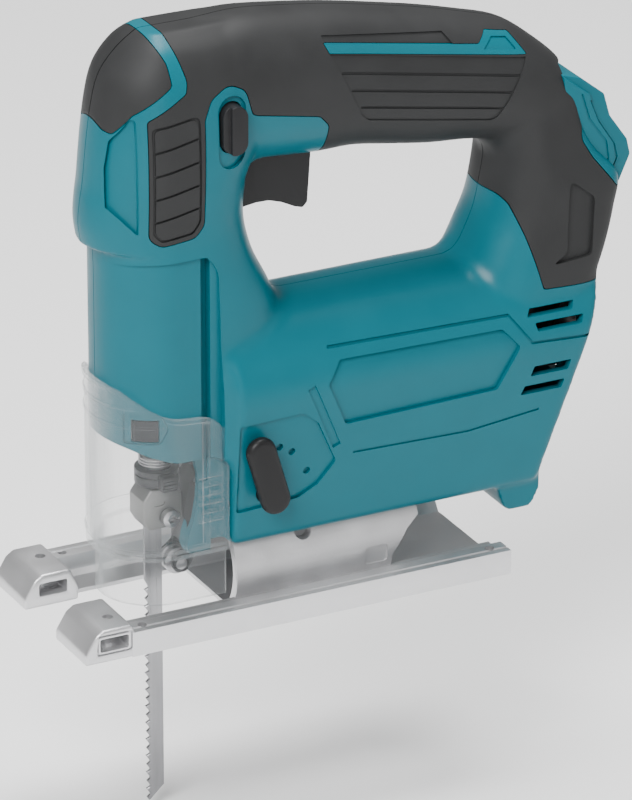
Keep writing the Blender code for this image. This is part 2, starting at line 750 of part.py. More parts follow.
def gear_body(teeth, centre, start, bore):
    body = extrude("gear", gear_outline(teeth, centre, start), "X", GEAR_FRONT,
                   GEAR_FRONT + GEAR_THICK)
    return cut(body, rod("bore", "X", centre, GEAR_FRONT - MM, GEAR_FRONT + GEAR_THICK + MM, bore, 16))


def make_gears(materials):
    centre = (0, GEAR_Z)
    pivot = (0, 0, GEAR_Z)
    pin_centre = (CRANK_R, GEAR_Z)
    gear_back = GEAR_FRONT + GEAR_THICK
    # a gap of the large gear faces the pinion's top tooth
    start = -math.pi / 2 + math.pi / GEAR_TEETH
    gear = gear_body(GEAR_TEETH, centre, start, 4 * MM + GAP)
    cut(gear, rod("pin hole", "X", pin_centre, GEAR_FRONT - MM, gear_back + MM, CRANK_PIN_R + GAP, 16))
    finish(gear, "crank_gear", materials["steel"], pivot)
    finish(rod("shaft", "X", centre, GEAR_FRONT + MM, 7 * MM, 4 * MM, 16), "gear_shaft",
           materials["steel"], pivot)
    finish(rod("pin", "X", pin_centre, YOKE_FRONT - MM, gear_back - MM, CRANK_PIN_R, 16),
           "crank_pin", materials["steel"], pivot)


def make_gear_plate(materials):
    top_half = 9 * MM
    top = BARREL_Z + math.sqrt((BARREL_R - WALL) ** 2 - top_half ** 2) - 0.5 * MM
    outline = [(-18 * MM, 62 * MM), (18 * MM, 62 * MM), (19 * MM, 90 * MM), (top_half, top),
               (-top_half, top), (-19 * MM, 90 * MM)]
    plate = extrude("plate", outline, "X", 1 * MM, 7 * MM)
    cut(plate, rod("seat", "X", (0, MOTOR_Z), 0, 8 * MM, 7 * MM + GAP, 20),
        rod("seat", "X", (0, GEAR_Z), 0, 8 * MM, 6.5 * MM + GAP, 20))
    finish(plate, "gear_plate", materials["cast"])


def plunger_rod(low, high, radius, steps=20):
    return rod("rod", "Z", (PLUNGER_X, 0), low, high, radius, steps)


def make_plunger(materials):
    finish(plunger_rod(PLUNGER_LOW, PLUNGER_HIGH, PLUNGER_R), "plunger_rod", materials["steel"])
    yoke = plunger_rod(GEAR_Z - 6 * MM, GEAR_Z + 6 * MM, 8 * MM)
    slot_half = CRANK_PIN_R + YOKE_SLACK
    join(yoke, box("neck", (PLUNGER_X + 3 * MM, YOKE_FRONT + MM), (-5 * MM, 5 * MM),
                   (GEAR_Z - slot_half - 3 * MM, GEAR_Z + slot_half + 3 * MM)))
    join(yoke, box("plate", (YOKE_FRONT, YOKE_BACK), (-16 * MM, 16 * MM),
                   (GEAR_Z - slot_half - 4 * MM, GEAR_Z + slot_half + 4 * MM)))
    reach = CRANK_R + CRANK_PIN_R + MM
    cut(yoke, box("slot", (YOKE_FRONT - 2 * MM, YOKE_BACK + MM), (-reach, reach),
                  (GEAR_Z - slot_half, GEAR_Z + slot_half)))
    cut(yoke, plunger_rod(GEAR_Z - 20 * MM, GEAR_Z + 20 * MM, PLUNGER_R + GAP))
    finish(yoke, "yoke", materials["steel"])


def make_guide(materials):
    outline = [(-54, 68), (-31.5, 68), (-31.5, 78.5), (-47.3, 78.5), (-47.3, 121), (-31.5, 121),
               (-31.5, 131), (-47.3, 131), (-47.3, 153), (-33, 153), (-33, 166), (-54, 166)]
    guide = extrude("guide", [(x * MM, z * MM) for x, z in outline], "Y", -GUIDE_HALF_WIDTH,
                    GUIDE_HALF_WIDTH)
    cut(guide, plunger_rod(60 * MM, 140 * MM, PLUNGER_R + GAP))
    cut(guide, rod("pin", "Y", GUIDE_PIVOT, -12 * MM, 12 * MM, GUIDE_PIN_R + GAP, 16))
    pivot = (GUIDE_PIVOT[0], 0, GUIDE_PIVOT[1])
    finish(guide, "plunger_guide", materials["cast"], pivot)
    reach = 20.2 * MM - WALL
    pin = rod("pin", "Y", GUIDE_PIVOT, -reach, reach, GUIDE_PIN_R, 16)
    finish(pin, "guide_pin", materials["steel"])


# ---------------------------------------------------------------- blade, clamp and roller

def blade_outline():
    """Toothed front edge going up, then the shank and the plain back."""
    front = BLADE_BACK - BLADE_WIDTH
    points = [(BLADE_BACK, BLADE_TIP + 5.4 * MM), (front + MM, BLADE_TIP)]
    for i in range(26):
        low = BLADE_TIP + 1.5 * MM + i * TOOTH_PITCH
        points.append((front, low))
        points.append((front + TOOTH_DEPTH, low + 0.25 * TOOTH_PITCH))
    points.append((front, points[-1][1] + 2 * MM))
    points.append((front, BLADE_TOP))
    points.append((BLADE_BACK, BLADE_TOP))
    return points


def make_blade(materials):
    blade = extrude("blade", blade_outline(), "Y", -0.5 * BLADE_THICK, 0.5 * BLADE_THICK)
    finish(blade, "blade", materials["steel"])


def make_clamp(materials):
    top = PLUNGER_LOW - GAP
    outline = [(-46, 34), (-44, 30.5), (-33, 30.5), (-31, 33), (-31, 43), (-33, 46), (-43, 46), (-46, 42)]
    points = [(x * MM, z * MM) for x, z in outline]
    body = extrude("body", points, "Y", -6 * MM, 6 * MM)
    cut(body, box("slot", (-44 * MM, BLADE_BACK + GAP), (-0.9 * MM, 0.9 * MM), (20 * MM, BLADE_TOP + GAP)))
    screw = rod("screw", "Y", (-36.5 * MM, 35 * MM), -9.5 * MM, -6.4 * MM, 3.4 * MM, 16)
    join(screw, rod("shank", "Y", (-36.5 * MM, 35 * MM), -7 * MM, -2.5 * MM, 1.6 * MM, 12))
    cut(screw, rod("socket", "Y", (-36.5 * MM, 35 * MM), -10 * MM, -7.6 * MM, 1.7 * MM, 6))
    cut(body, rod("thread", "Y", (-36.5 * MM, 35 * MM), -7 * MM, -2 * MM, 1.6 * MM + GAP, 12))
    finish(body, "clamp_body", materials["steel"])
    finish(screw, "clamp_screw", materials["steel"])
    sleeve = plunger_rod(top + 2 * GAP, top + 7 * MM, 8 * MM)
    join(sleeve, box("tab", (PLUNGER_X - 3 * MM, PLUNGER_X + 3 * MM), (-11.5 * MM, -6 * MM),
                     (top + 2 * GAP, top + 6 * MM)))
    cut(sleeve, plunger_rod(40 * MM, 60 * MM, PLUNGER_R + GAP))
    finish(sleeve, "clamp_sleeve", materials["steel"], (PLUNGER_X, 0, PLUNGER_LOW))
    spring = ring("spring", "Z", (PLUNGER_X, 0), top + 7.4 * MM, top + 12 * MM, 7 * MM,
                  PLUNGER_R + 0.5 * MM)
    finish(spring, "clamp_spring", materials["steel"])


def roller_x():
    return BLADE_BACK + GAP + ROLLER_R


def make_roller_arm(materials):
    axle = (roller_x(), ROLLER_Z)
    outline = [(-27.8, 46), (-24.5, 49.4), (-20.4, 49), (-20.4, 42), (-25, 30), (-26.5, 16),
               (-29, 11.5), (-33, 11.5), (-34.5, 14), (-34, 17.5), (-30, 20.5), (-30, 36)]
    points = [(x * MM, z * MM) for x, z in outline]
    arm = extrude("arm", points, "Y", -5.5 * MM, 5.5 * MM)
    cut(arm, box("fork", (-40 * MM, -26 * MM), (-3.4 * MM, 3.4 * MM), (8 * MM, 22 * MM)))
    join(arm, box("tail", (-22 * MM, -12.4 * MM), (-3.5 * MM, 3.5 * MM), (44.2 * MM, 47.8 * MM)))
    cut(arm, rod("hole", "Y", ARM_PIVOT, -8 * MM, 8 * MM, ROLLER_PIN_R + GAP, 12),
        rod("hole", "Y", axle, -8 * MM, 8 * MM, ROLLER_PIN_R + GAP, 12))
    finish(arm, "roller_arm", materials["steel"], (ARM_PIVOT[0], 0, ARM_PIVOT[1]))
    pin = rod("pin", "Y", ARM_PIVOT, -14.7 * MM, 14.7 * MM, ROLLER_PIN_R, 12)
    finish(pin, "arm_pin", materials["steel"])
    wheel = ring("wheel", "Y", axle, -3 * MM, 3 * MM, ROLLER_R, ROLLER_PIN_R + GAP, 24)
    finish(wheel, "blade_roller", materials["steel"], (axle[0], 0, axle[1]))
    axle_pin = rod("pin", "Y", axle, -5.6 * MM, 5.6 * MM, ROLLER_PIN_R, 12)
    finish(axle_pin, "roller_pin", materials["steel"])


def make_orbit_lever(materials):
    x0, z0 = LEVER_PIVOT
    pivot = (x0, 0, z0)
    along = Vector((LEVER_TIP[0] - x0, LEVER_TIP[1] - z0))
    lean = math.atan2(along.y, along.x)
    points = []
    for centre, start, radius in ((LEVER_PIVOT, lean + math.pi / 2, 6 * MM),
                                  (LEVER_TIP, lean - math.pi / 2, 5 * MM)):
        for i in range(8):
            angle = start + math.pi * i / 7
            points.append((centre[0] + radius * math.cos(angle), centre[1] + radius * math.sin(angle)))
    lever = extrude("lever", points, "Y", LEVER_OUTER_Y, LEVER_INNER_Y)
    join(lever, rod("shaft", "Y", LEVER_PIVOT, LEVER_INNER_Y - MM, -5.2 * MM, LEVER_SHAFT_R, 16))
    finish(lever, "orbit_lever", materials["black"], pivot)
    cam = rod("cam", "Y", LEVER_PIVOT, -4.9 * MM, 4.9 * MM, 5 * MM, 16)
    cut(cam, box("flat", (x0 - 7 * MM, x0 - 3.2 * MM), (-6 * MM, 6 * MM), (z0 - 8 * MM, z0 + 8 * MM)))
    finish(cam, "orbit_cam", materials["steel"], pivot)


# ---------------------------------------------------------------- guard, lamp and shoe

def u_outline(radius, back):
    """Plan of a U: round about the column's axis in front, straight to the back."""
    points = [(back, -radius)]
    for i in range(17):
        angle = -math.pi / 2 - math.pi * i / 16
        points.append((COLUMN_X + radius * math.cos(angle), radius * math.sin(angle)))
    points.append((back, radius))
    return points


def make_guard(materials):
    guard = extrude("guard", u_outline(GUARD_R, GUARD_BACK), "Z", SKIRT_TOP, GUARD_TOP_FRONT + MM)
    join(guard, extrude("skirt", u_outline(SKIRT_R, GUARD_BACK), "Z", GUARD_BOTTOM, SKIRT_TOP + MM))
    back = GUARD_BACK + 5 * MM
    cut(guard, extrude("room", u_outline(GUARD_R - GUARD_WALL, back), "Z",
                       SKIRT_TOP + GUARD_WALL, GUARD_TOP_FRONT + 9 * MM))
    cut(guard, extrude("room", u_outline(SKIRT_R - GUARD_WALL, back), "Z",
                       GUARD_BOTTOM - MM, SKIRT_TOP + 3 * MM))
    rim = [(-70 * MM, GUARD_TOP_FRONT), (-60 * MM, GUARD_TOP_FRONT - 1.5 * MM), (-48 * MM, 82 * MM),
           (-38 * MM, 79 * MM), (-27 * MM, 78 * MM), (-22 * MM, GUARD_TOP_REAR),
           (-18 * MM, 66 * MM), (-18 * MM, 120 * MM), (-70 * MM, 120 * MM)]
    cut(guard, extrude("rim", rim, "Y", -40 * MM, 40 * MM))
    finish(guard, "chip_guard", make_material("clear plastic", (0.8, 0.8, 0.82), 0.1))


def make_lamp(materials):
    lens = lamp_block(0.0, -14.5 * MM, 21.3 * MM)
    finish(lens, "lamp_lens", materials["black"])
    board = box("board", (-53 * MM, -46.8 * MM), (-13.8 * MM, -12.4 * MM), (71.3 * MM, 79 * MM))
    finish(board, "lamp_board", materials["copper"])


def rail_section(side):
    """Cross-section of one side of the shoe, from the blade opening out to its edge."""
    half = 0.5 * SHOE_WIDTH
    section = [(OPENING_HALF, 0), (OPENING_HALF, PLATE_THICK), (20.7 * MM, LEDGE_TOP), (25.8 * MM, LEDGE_TOP),
               (29.8 * MM, RAIL_TOP), (half, RAIL_TOP), (half, 0)]
    return [(side * y, z) for y, z in section]


def prong(side):
    half = 0.5 * SHOE_WIDTH
    tip = -0.5 * SHOE_LENGTH
    outline = [(tip, 0), (PRONG_BACK + 3 * MM, 0), (PRONG_BACK + 3 * MM, 5 * MM),
               (PRONG_BACK, PRONG_TOP), (tip + 7 * MM, PRONG_TOP), (tip + 4 * MM, PRONG_TOP - 2 * MM),
               (tip, 4 * MM)]
    y = sorted((side * PRONG_INNER, side * half))
    body = extrude("prong", outline, "Y", y[0], y[1])
    slot = sorted((side * 10 * MM, side * (half + 2 * MM)))
    return cut(body, box("slot", (-78.5 * MM, -67.5 * MM), slot, (4.3 * MM, 9.3 * MM)))


def make_shoe(materials):
    half = 0.5 * SHOE_WIDTH
    back = 0.5 * SHOE_LENGTH
    notch_back = -19 * MM
    shoe = box("plate", (notch_back, back), (-half + MM, half - MM), (0, PLATE_THICK))
    for side in (-1, 1):
        join(shoe, extrude("rail", rail_section(side), "X", PRONG_BACK, back), prong(side))
        for x, top in ((-60 * MM, 12 * MM), (78 * MM, 12 * MM)):
            cut(shoe, rod("hole", "Z", (x, side * 33 * MM), -MM, top, 1.7 * MM, 12))
    saddle = rod("saddle", "X", (0, TILT_Z), SADDLE_FRONT, SADDLE_BACK, SADDLE_R, 48)
    cut(saddle, rod("room", "X", (0, TILT_Z), SADDLE_FRONT - MM, SADDLE_BACK + MM,
                    SADDLE_R - SADDLE_WALL, 48))
    cut(saddle, box("below", (SADDLE_FRONT - MM, SADDLE_BACK + MM), (-half, half), (-20 * MM, 0.5 * MM)))
    slot_x = (BOLT_X - BOLT_R - 0.6 * MM, BOLT_X + BOLT_R + 0.6 * MM)
    cut(saddle, box("slot", slot_x, (-half, half), (24.8 * MM, 45 * MM)))
    join(shoe, saddle)
    cut(shoe, rod("key hole", "Z", (BOLT_X, 0), -MM, 4 * MM, 5 * MM, 20))
    finish(shoe, "shoe", materials["cast"], (0, 0, TILT_Z))


def make_clamp_bolt(materials):
    centre = (BOLT_X, 0)
    head_top = TILT_Z + SADDLE_R - SADDLE_WALL - MM
    bolt = rod("head", "Z", centre, head_top - 5 * MM, head_top, 5 * MM, 16)
    join(bolt, rod("shank", "Z", centre, head_top - MM, 46.5 * MM, BOLT_R, 16))
    cut(bolt, rod("socket", "Z", centre, head_top - 6 * MM, head_top - 2.5 * MM, 2.3 * MM, 6))
    finish(bolt, "shoe_bolt", materials["steel"])
    roof = TILT_Z + SADDLE_R + 0.5 * MM + WALL
    nut = box("nut", (BOLT_X - 8 * MM, BOLT_X + 8 * MM), (-8 * MM, 8 * MM), (roof + GAP, roof + 4.3 * MM))
    cut(nut, rod("hole", "Z", centre, 30 * MM, 60 * MM, BOLT_R + GAP, 16))
    finish(nut, "shoe_nut_plate", materials["steel"])


# ---------------------------------------------------------------- controls and electrics

def make_trigger(materials):
    outline = [(-5.2, 176), (-9.6, 166), (-9.6, 147.5), (-2, 148.6), (3, 148.4), (8, 146.8), (13, 144.2),
               (16, 143.4), (18, 145.2), (19.6, 168), (19.6, 176)]
    points = [(x * MM, z * MM) for x, z in outline]
    trigger = extrude("trigger", points, "Y", -TRIGGER_HALF_WIDTH, TRIGGER_HALF_WIDTH)
    pivot = (TRIGGER_PIVOT[0], 0, TRIGGER_PIVOT[1])
    cut(trigger, rod("hole", "Y", TRIGGER_PIVOT, -12 * MM, 12 * MM, 1.5 * MM + GAP, 12))
    finish(trigger, "trigger", materials["black"], pivot)
    pin = rod("pin", "Y", TRIGGER_PIVOT, -8.1 * MM, 8.1 * MM, 1.5 * MM, 12)
    finish(pin, "trigger_pin", materials["steel"])


def make_lock_button(materials):
    button = extrude("button", button_outline(0.0), "Y", BUTTON_NEAR_Y, BUTTON_FAR_Y)
    finish(button, "lock_button", materials["black"])


def make_electrics(materials):
    switch = box("switch", (24 * MM, 50 * MM), (-9 * MM, 9 * MM), (174 * MM, 200 * MM))
    finish(switch, "switch_body", materials["black"])
    board = box("board", (56 * MM, 84 * MM), (-8 * MM, 8 * MM), (171 * MM, 190 * MM))
    finish(board, "speed_controller", materials["black"])


def make_lead(name, y, material):
    """A motor lead from the controller down the rear leg to the brush end."""
    knots = [(85, 176), (92, 174), (98, 168), (101, 158), (102.5, 145), (101, 132), (97, 119),
             (91, 109), (88.5, 101), (88.5, 92.5)]
    curve = bpy.data.curves.new(name, "CURVE")
    curve.dimensions = "3D"
    curve.bevel_depth = 1.1 * MM
    curve.bevel_resolution = 1
    curve.use_fill_caps = True
    line = curve.splines.new("POLY")
    line.points.add(len(knots) - 1)
    for point, (x, z) in zip(line.points, knots):
        point.co = (x * MM, y, z * MM, 1.0)
    item = bpy.data.objects.new(name, curve)
    curve.materials.append(material)
    bpy.context.scene.collection.objects.link(item)


def make_screws(materials):
    for name, (x, z) in SCREWS.items():
        head_y = screw_head_y(x, z)
        screw = rod("shank", "Y", (x, z), -11.5 * MM, head_y + MM, SCREW_SHANK_R, 10)
        join(screw, rod("head", "Y", (x, z), head_y, head_y + 2.6 * MM, SCREW_HEAD_R, 14))
        finish(screw, name, materials["steel"])


def build():
    clear_scene()
    materials = {
        "teal": make_material("teal plastic", TEAL, 0.35),
        "rubber": make_material("soft grip", RUBBER_GREY, 0.6),
        "black": make_material("black plastic", BLACK, 0.4),
        "cast": make_material("cast aluminium", CAST, 0.4, 0.9),
        "steel": make_material("steel", STEEL, 0.3, 1.0),
        "copper": make_material("copper", COPPER, 0.35, 1.0),
        "red": make_material("red lead", (0.5, 0.02, 0.02), 0.5),
    }
    make_housing(materials)
    make_grips(materials)
    make_nose_cap(materials)
    make_rear_cap(materials)
    make_battery_seat(materials)
    make_motor_can(materials)
    make_motor_end_cap(materials)
    make_armature(materials)
    make_bearings(materials)
    make_gears(materials)
    make_gear_plate(materials)
    make_plunger(materials)
    make_guide(materials)
    make_blade(materials)
    make_clamp(materials)
    make_roller_arm(materials)
    make_orbit_lever(materials)
    make_guard(materials)
    make_lamp(materials)
    make_shoe(materials)
    make_clamp_bolt(materials)
    make_trigger(materials)
    make_lock_button(materials)
    make_electrics(materials)
    make_lead("lead_red", 5 * MM, materials["red"])
    make_lead("lead_black", -5 * MM, materials["black"])
    make_screws(materials)


build()
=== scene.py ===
"""Finished look of a cordless jigsaw, built as a Blender add-on around its mechanical frame.

X runs from the blade at the front (-X) to the battery seat at the rear, -Y is the tool's left
side and +Z is up. Shapes are written in millimetres and turned into metres as they are built.
"""
import math

import bmesh
import bpy
from bpy.props import FloatProperty, FloatVectorProperty, PointerProperty
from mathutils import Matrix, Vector


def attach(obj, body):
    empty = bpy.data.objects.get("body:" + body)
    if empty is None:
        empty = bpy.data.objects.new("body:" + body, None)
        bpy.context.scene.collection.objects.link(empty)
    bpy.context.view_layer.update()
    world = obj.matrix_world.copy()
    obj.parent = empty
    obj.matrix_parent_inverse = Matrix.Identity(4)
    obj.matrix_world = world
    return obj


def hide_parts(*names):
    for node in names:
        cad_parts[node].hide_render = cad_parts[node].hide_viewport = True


bl_info = {
    "name": "Jigsaw look",
    "version": (1, 0, 0),
    "blender": (4, 5, 0),
    "location": "3D View > Sidebar > Jigsaw",
    "description": "Housing, grip, guard, blade and shoe of a cordless jigsaw",
    "category": "Object",
}

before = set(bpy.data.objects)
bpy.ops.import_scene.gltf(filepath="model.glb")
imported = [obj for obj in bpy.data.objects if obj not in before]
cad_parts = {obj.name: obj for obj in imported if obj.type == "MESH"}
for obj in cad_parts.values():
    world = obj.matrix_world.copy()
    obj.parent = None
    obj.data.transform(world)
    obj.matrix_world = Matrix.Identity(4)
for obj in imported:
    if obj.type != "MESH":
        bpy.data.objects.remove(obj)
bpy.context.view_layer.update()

MM = 0.001
ROOT = "housing"

# Millimetres
BEYOND = 45         # past either side of the tool
RUBBER_BED = 2.3    # skin taken off the shell under the rubber
SHELL_WALL = 2.8
WALL_UNDER_GRIP = 4.9
RUBBER_THICK = 2.0
INLAY_THICK = 1.2
BOSS_R = 3.8
SCREW_HOLE_R = 1.8
HEAD_ROOM_R = 3.5
COLUMN_X = -40      # axis of the column, the guard and the lamp's curve
ROD_X = -38         # axis of the plunger rod


# ---------------------------------------------------------------- user values

class JigsawSizes(bpy.types.PropertyGroup):
    """Sizes that set how fine and how deep the moulded detail is."""
    seam: FloatProperty(name="Seam", description="Width of the joint lines between pieces",
                        default=0.35 * MM, min=0.0, unit="LENGTH")
    groove: FloatProperty(name="Groove", description="Depth of the grip grooves",
                          default=0.7 * MM, min=0.0, unit="LENGTH")
    skin: FloatProperty(name="Skin", description="Edge of a cell in the moulded skin",
                        default=1.0 * MM, min=0.5 * MM, unit="LENGTH")
    blend: FloatProperty(name="Blend", description="Fillet where grip, leg and barrel meet",
                         default=5.0 * MM, min=0.0, unit="LENGTH")


class JigsawColours(bpy.types.PropertyGroup):
    """Colours of the main materials, as linear values."""
    shell: FloatVectorProperty(name="Shell", description="Moulded housing", subtype="COLOR",
                               default=(0.0, 0.10, 0.132), min=0.0, max=1.0)
    grip: FloatVectorProperty(name="Grip", description="Soft overmould", subtype="COLOR",
                              default=(0.020, 0.0205, 0.021), min=0.0, max=1.0)
    control: FloatVectorProperty(name="Controls", description="Trigger and lever",
                                 subtype="COLOR", default=(0.010, 0.010, 0.0105), min=0.0, max=1.0)
    cast: FloatVectorProperty(name="Casting", description="Shoe and its saddle",
                              subtype="COLOR", default=(0.62, 0.62, 0.63), min=0.0, max=1.0)


# ---------------------------------------------------------------- mesh helpers

def solid(name, points, faces):
    """A closed body from points in millimetres, its faces turned outwards."""
    mesh = bpy.data.meshes.new(name)
    mesh.from_pydata([tuple(c * MM for c in p) for p in points], [], faces)
    body = bmesh.new()
    body.from_mesh(mesh)
    bmesh.ops.recalc_face_normals(body, faces=body.faces[:])
    body.to_mesh(mesh)
    body.free()
    item = bpy.data.objects.new(name, mesh)
    bpy.context.scene.collection.objects.link(item)
    return item


def loft(name, rings):
    """Skin a run of equal rings and close both ends."""
    count = len(rings[0])
    points = [p for ring in rings for p in ring]
    faces = [list(range(count)), list(range(len(points) - count, len(points)))]
    for row in range(len(rings) - 1):
        for i in range(count):
            a = row * count + i
            b = row * count + (i + 1) % count
            faces.append([a, b, b + count, a + count])
    return solid(name, points, faces)


def place(axis, u, v, along):
    if axis == "X":
        return (along, u, v)
    if axis == "Y":
        return (u, along, v)
    return (u, v, along)


def prism(name, outline, axis, low, high):
    """A flat outline across an axis, drawn out along it."""
    return loft(name, [[place(axis, point[0], point[1], low) for point in outline],
                       [place(axis, point[0], point[1], high) for point in outline]])


def block(name, x, y, z):
    return prism(name, [(x[0], z[0]), (x[1], z[0]), (x[1], z[1]), (x[0], z[1])], "Y", y[0], y[1])


def circle(centre, radius, steps=48, start=0.0, sweep=2 * math.pi):
    return [(centre[0] + radius * math.cos(start + sweep * i / steps),
             centre[1] + radius * math.sin(start + sweep * i / steps)) for i in range(steps)]


def rod(name, axis, centre, low, high, radius, steps=48):
    return prism(name, circle(centre, radius, steps), axis, low, high)


def turned(name, axis, centre, profile, steps=48):
    """A turned body from (along, radius) pairs."""
    rings = []
    for along, radius in profile:
        rings.append([place(axis, u, v, along) for u, v in circle(centre, radius, steps)])
    return loft(name, rings)


def tube(name, path, radius, sides=12):
    """A round bar along a run of points."""
    points = [Vector(p) for p in path]
    side = Vector((0, 0, 1)) if abs((points[1] - points[0]).normalized().z) < 0.9 else Vector((1, 0, 0))
    rings = []
    for i, point in enumerate(points):
        along = (points[min(i + 1, len(points) - 1)] - points[max(i - 1, 0)]).normalized()
        side = (side - along * side.dot(along)).normalized()
        across = along.cross(side)
        rings.append([tuple(point + radius * (side * math.cos(a) + across * math.sin(a)))
                      for a in (2 * math.pi * k / sides for k in range(sides))])
    return loft(name, rings)


def rounded(outline, radius, steps=5):
    """An outline with its corners rounded; a corner may carry its own radius."""
    count = len(outline)
    points = []
    for i in range(count):
        here = Vector(outline[i][:2])
        before = Vector(outline[i - 1][:2]) - here
        after = Vector(outline[(i + 1) % count][:2]) - here
        wanted = outline[i][2] if len(outline[i]) > 2 else radius
        half = 0.5 * before.angle(after)
        reach = min(wanted / max(0.05, math.tan(half)), 0.48 * before.length, 0.48 * after.length)
        if wanted <= 0 or reach < 0.05 or half > 1.53:
            points.append(tuple(here))
            continue
        start = here + before.normalized() * reach
        end = here + after.normalized() * reach
        for k in range(steps + 1):
            t = k / steps
            points.append(tuple(start * (1 - t) ** 2 + here * 2 * t * (1 - t) + end * t * t))
    return points


def capsule(low, high, radius, steps=12):
    """Outline of a slot with round ends between two points."""
    a, b = Vector(low), Vector(high)
    lean = math.atan2(b.y - a.y, b.x - a.x)
    return circle(a, radius, steps, lean + math.pi / 2, math.pi) \
        + [tuple(a + radius * Vector((math.cos(lean - math.pi / 2), math.sin(lean - math.pi / 2))))] \
        + circle(b, radius, steps, lean - math.pi / 2, math.pi) \
        + [tuple(b + radius * Vector((math.cos(lean + math.pi / 2), math.sin(lean + math.pi / 2))))]


def stroke(path, width):
    """Outline of a band of one width along an open path."""
    left, right = [], []
    for i, point in enumerate(path):
        before = Vector(path[max(i - 1, 0)])
        after = Vector(path[min(i + 1, len(path) - 1)])
        along = (after - before).normalized()
        across = Vector((-along.y, along.x)) * 0.5 * width
        left.append(tuple(Vector(point) + across))
        right.append(tuple(Vector(point) - across))
    return left + right[::-1]


def settle(item):
    """Apply the modifiers of a piece."""
    bpy.context.view_layer.update()
    depsgraph = bpy.context.evaluated_depsgraph_get()
    mesh = bpy.data.meshes.new_from_object(item.evaluated_get(depsgraph))
    item.modifiers.clear()
    item.data = mesh
    return item


def span(side, near, far):
    """A range across the tool on one side of its middle, lowest first."""
    return sorted((side * near, side * far))


def twin(item):
    copy = item.copy()
    copy.data = item.data.copy()
    bpy.context.scene.collection.objects.link(copy)
    return copy


def drop(*items):
    for item in items:
        bpy.data.objects.remove(item, do_unlink=True)


def combine(item, operation, *tools, solver="MANIFOLD"):
    for tool in tools:
        modifier = item.modifiers.new("shape", "BOOLEAN")
        modifier.operation = operation
        modifier.solver = solver
        modifier.object = tool
        settle(item)
        drop(tool)
    return item


def cut(item, *tools, solver="MANIFOLD"):
    return combine(item, "DIFFERENCE", *tools, solver=solver)


def join(item, *tools, solver="MANIFOLD"):
    return combine(item, "UNION", *tools, solver=solver)


def keep(item, *tools, solver="MANIFOLD"):
    return combine(item, "INTERSECT", *tools, solver=solver)


def remesh(item, voxel):
    modifier = item.modifiers.new("skin", "REMESH")
    modifier.mode = "VOXEL"
    modifier.voxel_size = voxel
    modifier.use_smooth_shade = True
    return settle(item)


def swell(item, distance):
    modifier = item.modifiers.new("swell", "DISPLACE")
    modifier.strength = distance
    modifier.mid_level = 0.0
    return settle(item)


def relax(item, repeat, factor=0.5):
    modifier = item.modifiers.new("relax", "SMOOTH")
    modifier.factor = factor
    modifier.iterations = repeat
    return settle(item)


def bevel(item, width, segments=3, angle=30):
    """Round every edge sharper than an angle."""
    modifier = item.modifiers.new("edges", "BEVEL")
    modifier.width = width * MM
    modifier.segments = segments
    modifier.limit_method = "ANGLE"
    modifier.angle_limit = math.radians(angle)
    modifier.miter_outer = "MITER_ARC"
    return settle(item)


def inset(form, depth, voxel):
    """A copy of a form drawn in all round by a depth in millimetres."""
    inner = swell(twin(form), -depth * MM)
    return remesh(inner, voxel)


def piece(item, name, body, slot, material, *nodes, sharp=38):
    """Name a finished piece, dress it, tie it to its body and hide the mechanical nodes it stands for."""
    item.name = name
    item.data.name = name
    item.data.materials.clear()
    item.data.materials.append(material)
    item.data.shade_smooth()
    item.data.set_sharp_from_angle(angle=math.radians(sharp))
    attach(item, body)
    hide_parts(*nodes)
    return item


# ---------------------------------------------------------------- materials

def shader_of(material, colour, roughness, metallic):
    material.use_nodes = True
    shader = material.node_tree.nodes["Principled BSDF"]
    shader.inputs["Base Color"].default_value = (*colour, 1.0)
    shader.inputs["Roughness"].default_value = roughness
    shader.inputs["Metallic"].default_value = metallic
    shader.inputs["Specular IOR Level"].default_value = 0.5 if metallic > 0.3 else 0.2
    return shader


def noise_node(tree, scale, detail=4.0, stretch=(1, 1, 1)):
    place_in = tree.nodes.new("ShaderNodeTexCoord")
    mapping = tree.nodes.new("ShaderNodeMapping")
    mapping.inputs["Scale"].default_value = stretch
    noise = tree.nodes.new("ShaderNodeTexNoise")
    noise.inputs["Scale"].default_value = scale
    noise.inputs["Detail"].default_value = detail
    tree.links.new(place_in.outputs["Object"], mapping.inputs["Vector"])
    tree.links.new(mapping.outputs["Vector"], noise.inputs["Vector"])
    return noise


def spread(tree, source, low, high):
    reach = tree.nodes.new("ShaderNodeMapRange")
    reach.inputs["From Min"].default_value = 0.3
    reach.inputs["From Max"].default_value = 0.7
    reach.inputs["To Min"].default_value = low
    reach.inputs["To Max"].default_value = high
    tree.links.new(source, reach.inputs["Value"])
    return reach.outputs["Result"]


